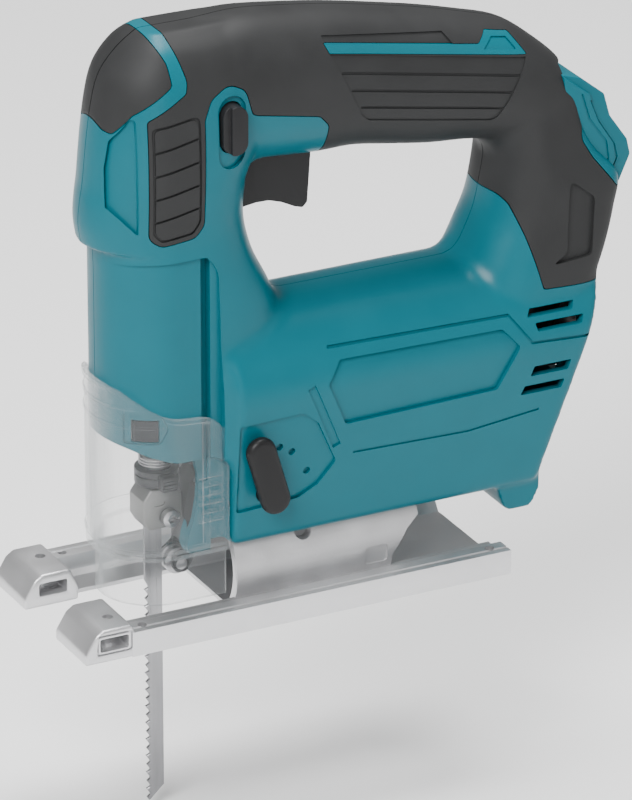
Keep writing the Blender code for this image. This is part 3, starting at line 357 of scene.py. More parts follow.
def textured(name, colour, roughness, metallic=0.0, grain=2500.0, bump=0.1, depth=0.05 * MM,
             stretch=(1, 1, 1), mottle=0.06, patch=60.0, rough_swing=0.05):
    """A finish whose colour and gloss vary slightly in patches, over a fine surface grain."""
    material = bpy.data.materials.new(name)
    shader = shader_of(material, colour, roughness, metallic)
    tree = material.node_tree
    patches = noise_node(tree, patch, 3.0, stretch)
    ramp = tree.nodes.new("ShaderNodeValToRGB")
    ramp.color_ramp.elements[0].position = 0.3
    ramp.color_ramp.elements[1].position = 0.7
    ramp.color_ramp.elements[0].color = (*[max(0.0, c * (1 - mottle)) for c in colour], 1)
    ramp.color_ramp.elements[1].color = (*[min(1.0, c * (1 + mottle)) for c in colour], 1)
    tree.links.new(patches.outputs["Fac"], ramp.inputs["Fac"])
    tree.links.new(ramp.outputs["Color"], shader.inputs["Base Color"])
    low, high = roughness - rough_swing, roughness + rough_swing
    tree.links.new(spread(tree, patches.outputs["Fac"], low, high), shader.inputs["Roughness"])
    fine = noise_node(tree, grain, 2.0, stretch)
    relief = tree.nodes.new("ShaderNodeBump")
    relief.inputs["Strength"].default_value = bump
    relief.inputs["Distance"].default_value = depth
    tree.links.new(fine.outputs["Fac"], relief.inputs["Height"])
    tree.links.new(relief.outputs["Normal"], shader.inputs["Normal"])
    return material


def clear_plastic(name, colour, low, high, roughness):
    """See-through plastic that closes towards its edges."""
    material = bpy.data.materials.new(name)
    shader = shader_of(material, colour, roughness, 0.0)
    shader.inputs["Specular IOR Level"].default_value = 0.9
    shader.inputs["Coat Weight"].default_value = 0.6
    shader.inputs["Coat Roughness"].default_value = 0.04
    tree = material.node_tree
    facing = tree.nodes.new("ShaderNodeLayerWeight")
    facing.inputs["Blend"].default_value = 0.5
    steep = tree.nodes.new("ShaderNodeMath")
    steep.operation = "POWER"
    steep.inputs[1].default_value = 2.6
    tree.links.new(facing.outputs["Facing"], steep.inputs[0])
    veil = tree.nodes.new("ShaderNodeMapRange")
    veil.inputs["To Min"].default_value = low
    veil.inputs["To Max"].default_value = high
    tree.links.new(steep.outputs["Value"], veil.inputs["Value"])
    haze = noise_node(tree, 90.0, 3.0)
    tree.links.new(spread(tree, haze.outputs["Fac"], roughness, roughness + 0.06),
                   shader.inputs["Roughness"])
    tree.links.new(veil.outputs["Result"], shader.inputs["Alpha"])
    return material


def make_finishes():
    """Every finish on the tool, by a plain name."""
    colours = bpy.context.scene.jigsaw_colours
    shell = tuple(colours.shell)
    grip = tuple(colours.grip)
    control = tuple(colours.control)
    cast = tuple(colours.cast)
    return {
        "shell": textured("moulded shell", shell, 0.34, grain=1500, bump=0.10, mottle=0.03),
        "grip": textured("soft grip", grip, 0.55, grain=2600, bump=0.35, depth=0.08 * MM, mottle=0.10),
        "control": textured("control plastic", control, 0.42, grain=1800, bump=0.15),
        "black": textured("black plastic", (0.012, 0.012, 0.013), 0.38, grain=1500, bump=0.12),
        "cast": textured("blasted casting", cast, 0.36, 0.85, grain=1400, bump=0.35,
                         depth=0.10 * MM, mottle=0.05, rough_swing=0.06),
        # Saddle finish: its coarser, rougher grain is the raw casting; its colour, 0.85 of the shoe's, is
        # painted shade for the recesses it covers.
        "saddle": textured("raw casting with painted shade", tuple(0.85 * c for c in cast), 0.5, 0.8, grain=900,
                           bump=0.6, depth=0.14 * MM, mottle=0.10, rough_swing=0.08),
        "inner_cast": textured("inner casting", (0.45, 0.45, 0.46), 0.5, 0.9, grain=700, bump=0.4),
        "steel": textured("machined steel", (0.42, 0.42, 0.43), 0.3, 1.0, grain=900, bump=0.12,
                          stretch=(1, 1, 6)),
        "dark_steel": textured("blackened steel", (0.035, 0.035, 0.037), 0.42, 0.7, grain=1100,
                               bump=0.2),
        "clamp": textured("sintered steel", (0.22, 0.22, 0.215), 0.45, 0.8, grain=1600, bump=0.4),
        "blade": textured("ground steel", (0.30, 0.30, 0.31), 0.32, 1.0, grain=2200, bump=0.25,
                          stretch=(1, 1, 0.08), mottle=0.14, patch=300),
        "copper": textured("enamelled copper", (0.5, 0.2, 0.09), 0.35, 0.9, grain=900, bump=0.4),
        "brass": textured("plated contact", (0.62, 0.5, 0.28), 0.28, 1.0, grain=1200, bump=0.1),
        "board": textured("coated board", (0.02, 0.12, 0.05), 0.4, grain=900, bump=0.1),
        "magnet": textured("pressed ferrite", (0.04, 0.04, 0.042), 0.6, 0.2, grain=1000, bump=0.3),
        "red": textured("red insulation", (0.5, 0.02, 0.02), 0.45, grain=900, bump=0.05),
        "clear": clear_plastic("clear guard", (0.52, 0.55, 0.56), 0.045, 0.95, 0.05),
        "lens": textured("smoked lens", (0.02, 0.021, 0.024), 0.22, grain=600, bump=0.03),
    }


FINISHES = {}


# ---------------------------------------------------------------- outer form

# Column: height, front, back, half width
LOWER_COLUMN = [(62, -61.6, -4, 23.9), (85, -61.6, 1, 23.9), (108, -61.6, 5.5, 23.7),
                (119, -61.6, 3, 23.5), (131, -61.6, -3.1, 23.3), (138.5, -61.8, -5.8, 23.1),
                (146, -61.8, -7.5, 23.0), (154, -61.8, -7.8, 23.0), (162, -61.8, -7, 23.0)]
HEAD = [(142.2, -66, -8.5, 23.0), (150, -67.2, -8.2, 23.3), (158, -66.6, -7.5, 23.8),
        (165, -65.4, -6, 24.2), (180, -63.8, 2, 24.2), (195, -61.6, 6, 23.2), (205, -58.6, 6, 21.0),
        (213, -52, 4, 16.5), (218.7, -44, 0, 8.5)]
# Grip: x, centre height, half height, half width
HANDLE = [(-36, 191, 27, 22), (-20, 191.7, 27.3, 22), (-5, 192, 27.5, 21.5), (20, 189.5, 27, 20.3),
          (35, 188.2, 25.8, 19.5), (50, 185.5, 25.4, 19.5), (66, 182.5, 24.9, 19.5),
          (82, 179.7, 23.4, 19.6), (98, 175.5, 22.5, 20), (110, 168.5, 21, 20), (119, 164, 17, 17.5),
          (124.5, 162, 9, 11)]
# Rear leg: height, front, back, half width
LEG = [(90, 73.5, 121.5, 26.5), (105, 77, 128.5, 26), (116, 82, 132.5, 25.3), (128, 87.5, 135.5, 24.5),
       (139, 90, 137, 24), (150, 92, 127.5, 22.5), (160, 94, 122.5, 21), (172, 96, 121, 18.5)]
REAR_X = 106.5
REAR_LEAN = 0.36
BARREL_R = 30.0
BARREL_Z = 82.0
BODY_BOTTOM = 26.5


def rear_face(z):
    """How far back the leaning rear face is at a height."""
    return REAR_X + REAR_LEAN * (z - 45)


def glide(rows, steps):
    """Smooth values between rows of numbers, by a Catmull-Rom curve through them."""
    result = []
    for k in range(steps + 1):
        t = k * (len(rows) - 1) / steps
        i = min(int(t), len(rows) - 2)
        f = t - i
        before, here = rows[max(i - 1, 0)], rows[i]
        after, last = rows[i + 1], rows[min(i + 2, len(rows) - 1)]
        result.append([0.5 * (2 * b + (c - a) * f + (2 * a - 5 * b + 4 * c - d) * f * f
                              + (3 * b - a - 3 * c + d) * f ** 3)
                       for a, b, c, d in zip(before, here, after, last)])
    return result


def squircle(angle, half_a, half_b, power):
    c, s = math.cos(angle), math.sin(angle)
    return (math.copysign(abs(c) ** (2 / power), c) * half_a,
            math.copysign(abs(s) ** (2 / power), s) * half_b)


def plan_loft(name, rows, middle, front_power, back_power, steps=40, count=72):
    """Loft of level rings, rounder in front than behind."""
    rings = []
    for z, front, back, half in glide(rows, steps):
        centre = 0.5 * (front + back) if middle is None else middle
        ring = []
        for i in range(count):
            angle = 2 * math.pi * (i + 0.5) / count
            reach = back - centre if math.cos(angle) > 0 else centre - front
            power = back_power if math.cos(angle) > 0 else front_power
            u, v = squircle(angle, reach, half, power)
            ring.append((centre + u, v, z))
        rings.append(ring)
    return loft(name, rings)


def handle_loft():
    rings = []
    for x, centre, half, width in glide(HANDLE, 48):
        ring = []
        for i in range(72):
            u, v = squircle(2 * math.pi * (i + 0.5) / 72, width, half, 2.3)
            ring.append((x, u, centre + v))
        rings.append(ring)
    return loft("handle", rings)


def barrel_loft():
    """Round-topped motor barrel whose flat sides lean in to the bottom."""
    top = circle((0, BARREL_Z), BARREL_R, 32, 0, math.pi) + [(-BARREL_R, BARREL_Z)]
    section = rounded([(24, BODY_BOTTOM, 3), *[(y, z, 0) for y, z in top], (-24, BODY_BOTTOM, 3)], 0)
    front = [(-20, y, z) for y, z in section]
    back = [(max(rear_face(z), 102.5), y, z) for y, z in section]
    return loft("barrel", [front, back])


def foot_block():
    outline = rounded([(86, 30), (90.5, 16.5, 4), (101, 16.5, 5), (104.5, 24), (104.5, 58), (84, 58)], 1)
    return prism("foot", outline, "Y", -22, 22)


def outer_form():
    """The whole housing and grip as one smooth moulding."""
    sizes = bpy.context.scene.jigsaw_sizes
    form = barrel_loft()
    join(form, plan_loft("column", LOWER_COLUMN, COLUMN_X, 2.0, 3.0),
         plan_loft("leg", LEG, None, 2.2, 6.0), handle_loft())
    remesh(form, 1.2 * MM)
    swell(form, sizes.blend)
    remesh(form, 1.2 * MM)
    swell(form, -sizes.blend)
    remesh(form, 1.1 * MM)
    join(form, plan_loft("head", HEAD, COLUMN_X, 2.0, 3.0), foot_block(),
         block("tail", (-36, -12), (-18.6, 18.6), (24.5, 70)))
    remesh(form, sizes.skin)
    return relax(form, 5)


def side_prisms(name, outline, depth_from, depth_to, sides=(-1, 1)):
    """The same outline drawn out on each side of the tool."""
    made = []
    for side in sides:
        made.append(prism(name, outline, "Y", *span(side, depth_from, depth_to)))
    return made


def merged(items):
    """Several tools as one body."""
    first = items[0]
    return join(first, *items[1:])


# Outline of the soft grip from the side; a third number is a corner's own radius
GRIP = [(-38.3, 240, 0), (-38.7, 219), (-35.2, 204.5, 6), (-36, 200.6, 2), (-50.3, 192.2, 2),
        (-50.5, 148.5, 6), (-46, 145.4, 5), (-33, 146.8, 5), (-29.5, 151, 5), (-29.2, 190, 3),
        (-26.5, 196.5, 5), (-19.5, 200.7, 6), (-13, 197.5, 5), (-10.2, 187.6, 3), (16.6, 181.8, 3),
        (20.6, 177.5, 4), (20.8, 150, 0), (50, 135, 0), (82, 133, 0), (90.6, 136.8, 3),
        (93.4, 133.5, 5), (96.8, 122.9, 5), (102.6, 102.4, 1.5), (123.5, 101.4, 1), (160, 101.6, 0),
        (160, 135, 0), (134, 135.4, 2), (124.2, 147.8, 4), (119.8, 155.5, 5), (124.2, 166.5, 5),
        (120.6, 177.5, 4), (110, 240, 0)]
NOSE_CAP = [(-80, 196, 0), (-63, 190.5, 1), (-61.5, 186.8, 1.5), (-59.6, 186.2, 1.5), (-54, 194),
            (-40.6, 203.6, 2), (-41.2, 211, 4),
            (-45.5, 222, 0), (-46, 240, 0), (-80, 240, 0)]
REAR_CAP = [(119, 136.5, 0), (137.6, 134.4, 1), (142, 144.2, 2), (140.6, 150.2, 2), (133.5, 160.3, 2),
            (131, 169.1, 2), (121.6, 176.6, 2), (114, 179, 0)]
PAD = [(-48.9, 189.6, 2), (-31.2, 192.4, 3), (-31, 152.6, 4), (-34, 148.6, 3), (-46, 147.2, 3),
       (-48.9, 150.6, 3)]
# Inlay on the side of the grip, its rear facet and the grooved field under it
GRIP_FIELD = [(21.5, 203.4, 0), (99.2, 188.6, 0), (98.4, 187, 1), (90.6, 173.4, 2), (86.4, 167.2, 4),
              (36.4, 176.3, 5), (33.6, 179, 2)]
GRIP_LIP = [(19.5, 209.8, 0), (67.8, 202.4, 0), (70.8, 198.1, 0), (20.4, 206.6, 0)]
INLAY = [(19.8, 207.3, 0.3), (70.8, 197.9, 0), (81.2, 196, 1), (85.6, 199.1, 0.6), (95, 196.9, 0.6),
         (99.7, 189.4, 0.3), (21.4, 203.8, 0.3)]
FACET = [(87.2, 197.2, 0.5), (93.2, 196, 0.5), (96.2, 191.4, 0.5), (82.4, 194, 0.5)]
PANEL = [(20.2, 92.6, 1), (84.8, 91.6, 2), (91.6, 84, 2), (83, 68.6, 2), (22.5, 67.4, 2), (15, 84.5, 2)]
DIAL = [(-19, 74.8, 1), (5.5, 75.6, 5), (11.5, 70.5, 3), (19.4, 53.4, 2), (12.6, 45.4, 2),
        (5, 41.5, 1), (-19, 40, 1)]
VENTS = [[(95.2, 93.6), (96.6, 96.6), (114.5, 96.6), (113.5, 93.6)],
         [(99, 88.2), (98, 91.4), (117.6, 91.4), (116.6, 88.2)],
         [(96.2, 71.2), (97.6, 75), (112.6, 75), (111.4, 71.2)],
         [(92.6, 64.2), (94.2, 67.6), (110.4, 67.6), (109.2, 64.2)]]


def grooves_on(form, outlines, depth, sides=(-1, 1), from_y=4):
    """Tool that takes a shallow layer off the form's sides within some outlines."""
    band = []
    for outline in outlines:
        band += side_prisms("groove", outline, from_y, BEYOND, sides)
    return skin_layer(form, band, depth)


def sculpt_form(form):
    """Recesses and ridges that are moulded into the skin, whatever it is made of."""
    flute = [(-62.5, 160, 0), (-62, 174, 4), (-60.5, 184, 5), (-54.9, 193, 1), (-53.4, 192, 0.5),
             (-53.6, 150.2, 0.5)]
    cut(form, skin_layer(form, side_prisms("flute", rounded(flute, 1), 0, 40), 1.5))
    cut(form, grooves_on(form, [rounded(PANEL, 1)], 1.5))
    cut(form, grooves_on(form, [rounded(DIAL, 1)], 1.1, sides=(-1,)))
    ridge = stroke([(16.3, 97.2), (88, 95.7), (96.4, 84.6), (120, 83.2)], 1.1)
    slash = stroke([(8.4, 84.8), (19.4, 59.4)], 3.2)
    cut(form, grooves_on(form, [ridge, slash], 0.8))
    cup = capsule((-18.6, 175.6), (-18.6, 191), 5.7)
    cut(form, grooves_on(form, [cup], 1.2, sides=(-1,)))
    for x, z in ((-2.8, 63.1), (2.1, 60.3), (8.4, 51.4)):
        cut(form, rod("dot", "Y", (x, z), -40, -24.2 - 0.1 * (z - 50), 1.35, 24))
    lower = stroke([(26, 55.5), (72, 54.2), (100.5, 57.2)], 0.9)
    cut(form, grooves_on(form, [lower], 0.5))
    return form


def skin_layer(form, tools, depth):
    """Tools with everything deeper than a shallow layer of the form taken off them."""
    tool = merged(tools)
    core = inset(form, depth, bpy.context.scene.jigsaw_sizes.skin * 1.15)
    return cut(tool, core)


SCREWS = {"nose": (-46, 199), "grip_rear": (108, 172), "top": (13.5, 105), "leg": (112, 126),
          "foot": (96, 36), "gear": (9, 54)}
BOLT_X = 9.4
TILT_Z = 14
LEVER_PIVOT = (-7, 46)
LEVER_TIP = (-12.5, 65)
BUTTON = (-18.6, 185)
BUTTON_HALF = (4.3, 9)


# Lower edge of the column and front of the cheeks under it
MOUTH_EDGE = [(-80, 73), (-62, 70.6), (-56, 68.5), (-50, 65.8), (-42, 62.9), (-36, 61.6), (-32.2, 60.4),
              (-30.8, 55), (-30.8, 46), (-32.4, 38), (-34.6, 31.5), (-35.2, 27.5), (-34, 24.8), (-33, 20),
              (-80, 20)]


def button_outline(grow):
    half = BUTTON_HALF[0] + grow
    rise = BUTTON_HALF[1] + grow - half
    return capsule((BUTTON[0], BUTTON[1] - rise), (BUTTON[0], BUTTON[1] + rise), half)


def battery_room():
    """Room behind the leaning rear face for the seat and the pack's front."""
    seat_back = 9.5
    outline = [(rear_face(66) - seat_back, 66), (170, 66), (170, 182), (114.5, 182), (118.5, 138),
               (rear_face(137) - seat_back, 137)]
    return prism("battery room", outline, "Y", -17.5, 17.5)


def housing_openings():
    """Every opening through the shell, as separate tools."""
    tools = [
        rod("seat", "X", (0, TILT_Z), -26, 58, 24.0, 96),
        block("trigger slot", (-10.5, 21.2), (-8.3, 8.3), (146.5, 184)),
        prism("button slot", button_outline(0.5), "Y", -32, 32),
        rod("lever hole", "Y", LEVER_PIVOT, -35, -12, 4.3, 32),
        block("arm slot", (-40, -19.5), (-12, 12), (20, 62)),
        block("tail slot", (-22, -14), (-5, 5), (40, 54)),
        rod("column mouth", "Z", (COLUMN_X, 0), 55, 72, 18.4, 64),
        block("column mouth", (-40, -30), (-16, 16), (55, 70)),
        prism("lower edge", MOUTH_EDGE, "Y", -40, 40),
        block("lamp seat", (-54.8, -46.2), (-30, -10), (71.0, 79.5)),
        rod("bolt hole", "Z", (BOLT_X, 0), 30, 50, 3.4, 32),
    ]
    tools.append(battery_room())
    for vent in VENTS:
        outline = rounded(vent, 0.6)
        tools += side_prisms("vent", outline, 14, BEYOND)
    return tools


def cut_track(form):
    """Round the lower column down to the guard's bore, under an arch, and cut its slot."""
    arch = rounded([(-80, 50, 0), (-80, 136, 0), (-50, 138.8, 20), (-28, 139, 7), (-24.2, 132, 8),
                    (-22.6, 50, 0)], 1, 8)
    for side in (-1, 1):
        room = prism("track", arch, "Y", *span(side, 3, BEYOND))
        cut(form, cut(room, prism("column", u_plan(21.7, 10), "Z", 40, 160)))
        slot = rounded([(-30.8, 52, 0), (-30.8, 138.8, 0), (-28.6, 138.6, 1), (-27.2, 136.8, 1),
                        (-27.2, 52, 0)], 0.3)
        cut(form, prism("slot", slot, "Y", *span(side, 18.0, BEYOND)))
    return form


def half_space(side, gap):
    """Everything on one side of the tool, from a gap off its middle."""
    return block("half", (-120, 180), span(side, gap, 70), (-100, 260))


def screw_head_y(z):
    """Depth of a screw head's seat, which follows the shell's side at its height."""
    if z > 150:
        return 13
    if z > BARREL_Z:
        return max(14, min(24, math.sqrt(max(0, BARREL_R ** 2 - (z - BARREL_Z) ** 2)))) - 6
    return 16


class JIGSAW_OT_housing(bpy.types.Operator):
    """Build both housing halves, the soft grip and the nose cap from one moulded form."""
    bl_idname = "jigsaw.housing"
    bl_label = "Housing and grip"

    def execute(self, context):
        sizes = context.scene.jigsaw_sizes
        seam = sizes.seam / MM
        form = sculpt_form(outer_form())
        cut_track(form)
        frame_line = [(-57.2, 70.4, 1), (-57.2, 81.8, 1), (-46, 81.8, 3), (-43.2, 76.1, 3), (-46, 70.4, 3)]
        cut(form, grooves_on(form, [rounded(frame_line, 1)], 1.0, sides=(-1,)))
        rubber_bed = inset(form, RUBBER_BED, 1.1 * MM)
        hollow = inset(form, SHELL_WALL, 1.3 * MM)
        room_under_grip = inset(form, WALL_UNDER_GRIP, 1.4 * MM)
        shell = twin(form)
        bed = cut(prism("bed", rounded(GRIP, 1), "Y", -BEYOND, BEYOND), twin(rubber_bed))
        nose_bed = cut(prism("bed", rounded(NOSE_CAP, 1), "Y", -BEYOND, BEYOND), rubber_bed)
        cut(shell, bed, nose_bed)
        grip_zone = twin(hollow)
        keep(grip_zone, prism("zone", rounded(GRIP, 1), "Y", -BEYOND, BEYOND))
        cut(hollow, cut(grip_zone, room_under_grip))
        for x, z in SCREWS.values():
            cut(hollow, rod("boss", "Y", (x, z), -40, 40, BOSS_R, 32))
        cut(hollow, rod("seat wall", "X", (0, TILT_Z), -20, 60, 26.5, 96))
        cut(shell, hollow)
        for tool in housing_openings():
            cut(shell, tool)
        self.cut_grip_detail(form, sizes)
        self.make_halves(shell, seam)
        self.make_grips(form, seam)
        return {"FINISHED"}

    def cut_grip_detail(self, form, sizes):
        """Grooved pads and the fields of the grip, all in its outer skin."""
        depth = sizes.groove / MM
        pad_lines = []
        for i in range(4):
            z = 155.4 + 8.6 * i
            pad_lines.append(stroke([(-48.7, z - 0.6), (-31.2, z + 3.0)], 0.9))
        cut(form, grooves_on(form, pad_lines, depth))
        ring = cut(merged(side_prisms("rim", rounded(PAD, 3), 4, BEYOND)),
                   *side_prisms("rim", rounded(shrunk(PAD, 0.9), 2.4), 3, 46))
        cut(form, skin_layer(form, [ring], depth))
        lines = []
        for share in (0.27, 0.53, 0.79):
            left = Vector((21.5, 203.4)).lerp(Vector((36.4, 176.3)), share)
            right = Vector((99.2, 188.6)).lerp(Vector((86.4, 167.2)), share)
            lines.append(stroke([tuple(left), tuple(right)], 1.0))
        cut(form, grooves_on(form, [rounded(GRIP_FIELD, 1)], 0.45))
        cut(form, grooves_on(form, lines, 0.55))
        cut(form, grooves_on(form, [GRIP_LIP], 0.5))
        dimple = rounded([(114, 141.7, 2), (124, 133.4, 3), (122.5, 112, 2), (106, 110.8, 2),
                          (112.4, 114.5, 4), (113, 126, 6)], 2)
        cut(form, grooves_on(form, [dimple], 1.3))

    def make_halves(self, shell, seam):
        twin_shell = twin(shell)
        for part, side, name in ((shell, -1, "housing_left"), (twin_shell, 1, "housing_right")):
            keep(part, half_space(side, 0.5 * seam))
            for x, z in SCREWS.values():
                cut(part, rod("hole", "Y", (x, z), -12, BEYOND, SCREW_HOLE_R, 24))
                if side > 0:
                    cut(part, rod("head", "Y", (x, z), screw_head_y(z) - 0.3, BEYOND, HEAD_ROOM_R, 32))
            piece(part, name + "_shell", ROOT, "housing_plastic", FINISHES["shell"], name)

    def make_grips(self, form, seam):
        core = inset(form, RUBBER_THICK, 1.1 * MM)
        cap = keep(twin(form), prism("zone", rounded(shrunk(NOSE_CAP, seam), 1), "Y", -BEYOND, BEYOND))
        cut(cap, twin(core), rod("head", "Y", SCREWS["nose"], 0, BEYOND, HEAD_ROOM_R, 32))
        seam_line = block("seam", (-80, -40), (-0.3, 0.3), (180, 240))
        cut(cap, cut(seam_line, inset(form, 0.6, 1.2 * MM)))
        piece(cap, "nose_cap_moulding", ROOT, "soft_grip", FINISHES["grip"], "nose_cap")
        inlays = keep(merged(side_prisms("inlay", rounded(INLAY, 0.4), 4, BEYOND)), twin(form))
        inlay_core = inset(form, INLAY_THICK, 1.1 * MM)
        cut(inlays, inlay_core)
        facets = skin_layer(form, side_prisms("facet", rounded(FACET, 0.5), 4, BEYOND), 0.45)
        cut(inlays, facets)
        grip = keep(twin(form), prism("zone", rounded(shrunk(GRIP, seam), 1), "Y", -BEYOND, BEYOND))
        cut(grip, core)
        cut(grip, *side_prisms("inlay", rounded(shrunk(INLAY, -0.25), 0.4), 4, BEYOND))
        cut(grip, block("trigger room", (-8, 21.2), (-9, 9), (140, 184)))
        cut(grip, battery_room())
        other = twin(grip)
        other_inlay = twin(inlays)
        parts = ((grip, inlays, -1, "grip_left"), (other, other_inlay, 1, "grip_right"))
        for part, inlay, side, name in parts:
            keep(part, half_space(side, 0.5 * seam))
            keep(inlay, half_space(side, 1))
            if side > 0:
                for x, z in SCREWS.values():
                    cut(part, rod("head", "Y", (x, z), 0, BEYOND, HEAD_ROOM_R, 32))
            piece(part, name + "_moulding", ROOT, "soft_grip", FINISHES["grip"], name)
            piece(inlay, name + "_inlay", ROOT, "housing_plastic", FINISHES["shell"], name)
        drop(form)


def shrunk(outline, distance):
    """An outline drawn in by a distance, keeping each corner's own radius."""
    points = [Vector(p[:2]) for p in outline]
    count = len(points)
    area = sum(points[i].x * points[(i + 1) % count].y - points[(i + 1) % count].x * points[i].y
               for i in range(count))
    way = 1 if area > 0 else -1
    moved = []
    for i in range(count):
        side_in = (points[i] - points[i - 1]).normalized()
        side_out = (points[(i + 1) % count] - points[i]).normalized()
        normal_in = Vector((-side_in.y, side_in.x)) * way
        normal_out = Vector((-side_out.y, side_out.x)) * way
        mitre = (normal_in + normal_out).normalized()
        here = points[i] + mitre * distance / max(0.5, mitre.dot(normal_in))
        moved.append((here.x, here.y, *outline[i][2:]))
    return moved


class JIGSAW_OT_rear_cap(bpy.types.Operator):
    """Build the stepped cap behind the grip and the battery seat with its contacts."""
    bl_idname = "jigsaw.rear_cap"
    bl_label = "Rear cap and battery seat"

    def execute(self, context):
        self.make_cap()
        self.make_seat()
        return {"FINISHED"}

    def make_cap(self):
        """A hollow cap whose sides step in towards the back."""
        cap = prism("cap", rounded(REAR_CAP, 1.2), "Y", -18.2, 18.2)
        step = [(122, 130, 0), (131, 133), (135.4, 144), (134.2, 151), (127.4, 161.5), (124.6, 170.5),
                (112, 180, 0), (160, 190, 0), (160, 126, 0)]
        cut(cap, *side_prisms("step", rounded(step, 1.2), 16.9, 30))
        bevel(cap, 0.9, 3, 35)
        groove = stroke([(128.6, 135.9), (132.4, 144.6), (131.4, 151.2), (124.4, 161.2), (121.3, 171)], 0.8)
        cut(cap, *side_prisms("groove", groove, 17.7, 30))
        rim = [(123, 142), (126, 138.5), (134, 138.2), (136.6, 144), (135.4, 149), (128.6, 159.2),
               (125, 168)]
        cut(cap, *side_prisms("groove", stroke(rim, 0.6), 16.5, 30))
        cut(cap, prism("inside", shrunk(REAR_CAP, 2.2), "Y", -14.3, 14.3),
            block("mouth", (108, 126), (-12, 12), (142, 170)))
        piece(cap, "rear_cap_shell", ROOT, "housing_plastic", FINISHES["shell"], "rear_cap")

    def make_seat(self):
        seat = leaning("seat", -9, -2.5, (-17, 17), 68, 136)
        for side in (-1, 1):
            join(seat, leaning("rail", -3, 1.6, span(side, 12.5, 17), 68, 116))
            join(seat, leaning("lip", 0.4, 2, span(side, 9.5, 17), 68, 104))
        bevel(seat, 0.4, 2)
        for y in (-6, 0, 6):
            cut(seat, leaning("slot", -10, 1, (y - 0.7, y + 0.7), 99.7, 112.3))
        cut(seat, leaning("catch", -5, 0, (-6, 6), 122, 130))
        for i in range(5):
            cut(seat, leaning("rib", -3.3, 0, (-8, 8), 74 + 4 * i, 75.4 + 4 * i))
        piece(seat, "battery_seat_moulding", ROOT, "black_plastic", FINISHES["black"], "battery_seat")
        for index, y in enumerate((-6, 0, 6)):
            blade = leaning("terminal", -11, 1, (y - 0.4, y + 0.4), 100, 112)
            bevel(blade, 0.25, 2)
            name = "battery_terminal_%d" % (index + 1)
            piece(blade, name + "_blade", ROOT, "terminal_brass", FINISHES["brass"], name)


def leaning(name, front, back, y, low, high):
    """A block that follows the leaning rear face."""
    outline = [(rear_face(low) + front, low), (rear_face(low) + back, low),
               (rear_face(high) + back, high), (rear_face(high) + front, high)]
    return prism(name, outline, "Y", y[0], y[1])


class JIGSAW_OT_controls(bpy.types.Operator):
    """Build the trigger, the lock button and the orbit lever."""
    bl_idname = "jigsaw.controls"
    bl_label = "Controls"

    def execute(self, context):
        self.make_trigger()
        self.make_button()
        self.make_lever()
        return {"FINISHED"}

    def make_trigger(self):
        outline = [(-5.2, 176), (-9.6, 166), (-9.6, 147.6, 1), (-2, 148.6, 3), (3, 148.5, 6), (8, 146.9, 6),
                   (13, 144.4, 5), (16.2, 143.4, 1.2), (18, 145.3, 1.5), (19.6, 168), (19.6, 176)]
        trigger = prism("trigger", rounded(outline, 0.6), "Y", -7.5, 7.5)
        bevel(trigger, 1.6, 4, 50)
        cut(trigger, rod("hole", "Y", (-2, 173), -12, 12, 1.8, 24))
        piece(trigger, "trigger_moulding", "trigger", "dark_control", FINISHES["control"], "trigger")

    def make_button(self):
        button = prism("button", button_outline(0), "Y", -26.5, 19.5)
        cut(button, prism("front", [(-30, 170), (-20.4, 170), (-20.4, 200), (-30, 200)], "Y", -30, -24.6))
        bevel(button, 1.0, 4, 50)
        piece(button, "lock_button_cap", "lock", "black_plastic", FINISHES["black"], "lock_button")

    def make_lever(self):
        lever = prism("lever", capsule(LEVER_PIVOT, LEVER_TIP, 5.6), "Y", -34, -29.2)
        bevel(lever, 2.1, 6, 50)
        join(lever, rod("shaft", "Y", LEVER_PIVOT, -30, -5.2, 4, 40))
        piece(lever, "orbit_lever_arm", "orbit", "dark_control", FINISHES["control"], "orbit_lever")


def u_plan(radius, back, steps=56):
    """Plan of the guard: round about the column's axis in front, straight to the back."""
    points = [(back, -radius)]
    for i in range(steps + 1):
        angle = -math.pi / 2 - math.pi * i / steps
        points.append((COLUMN_X + radius * math.cos(angle), radius * math.sin(angle)))
    points.append((back, radius))
    return points


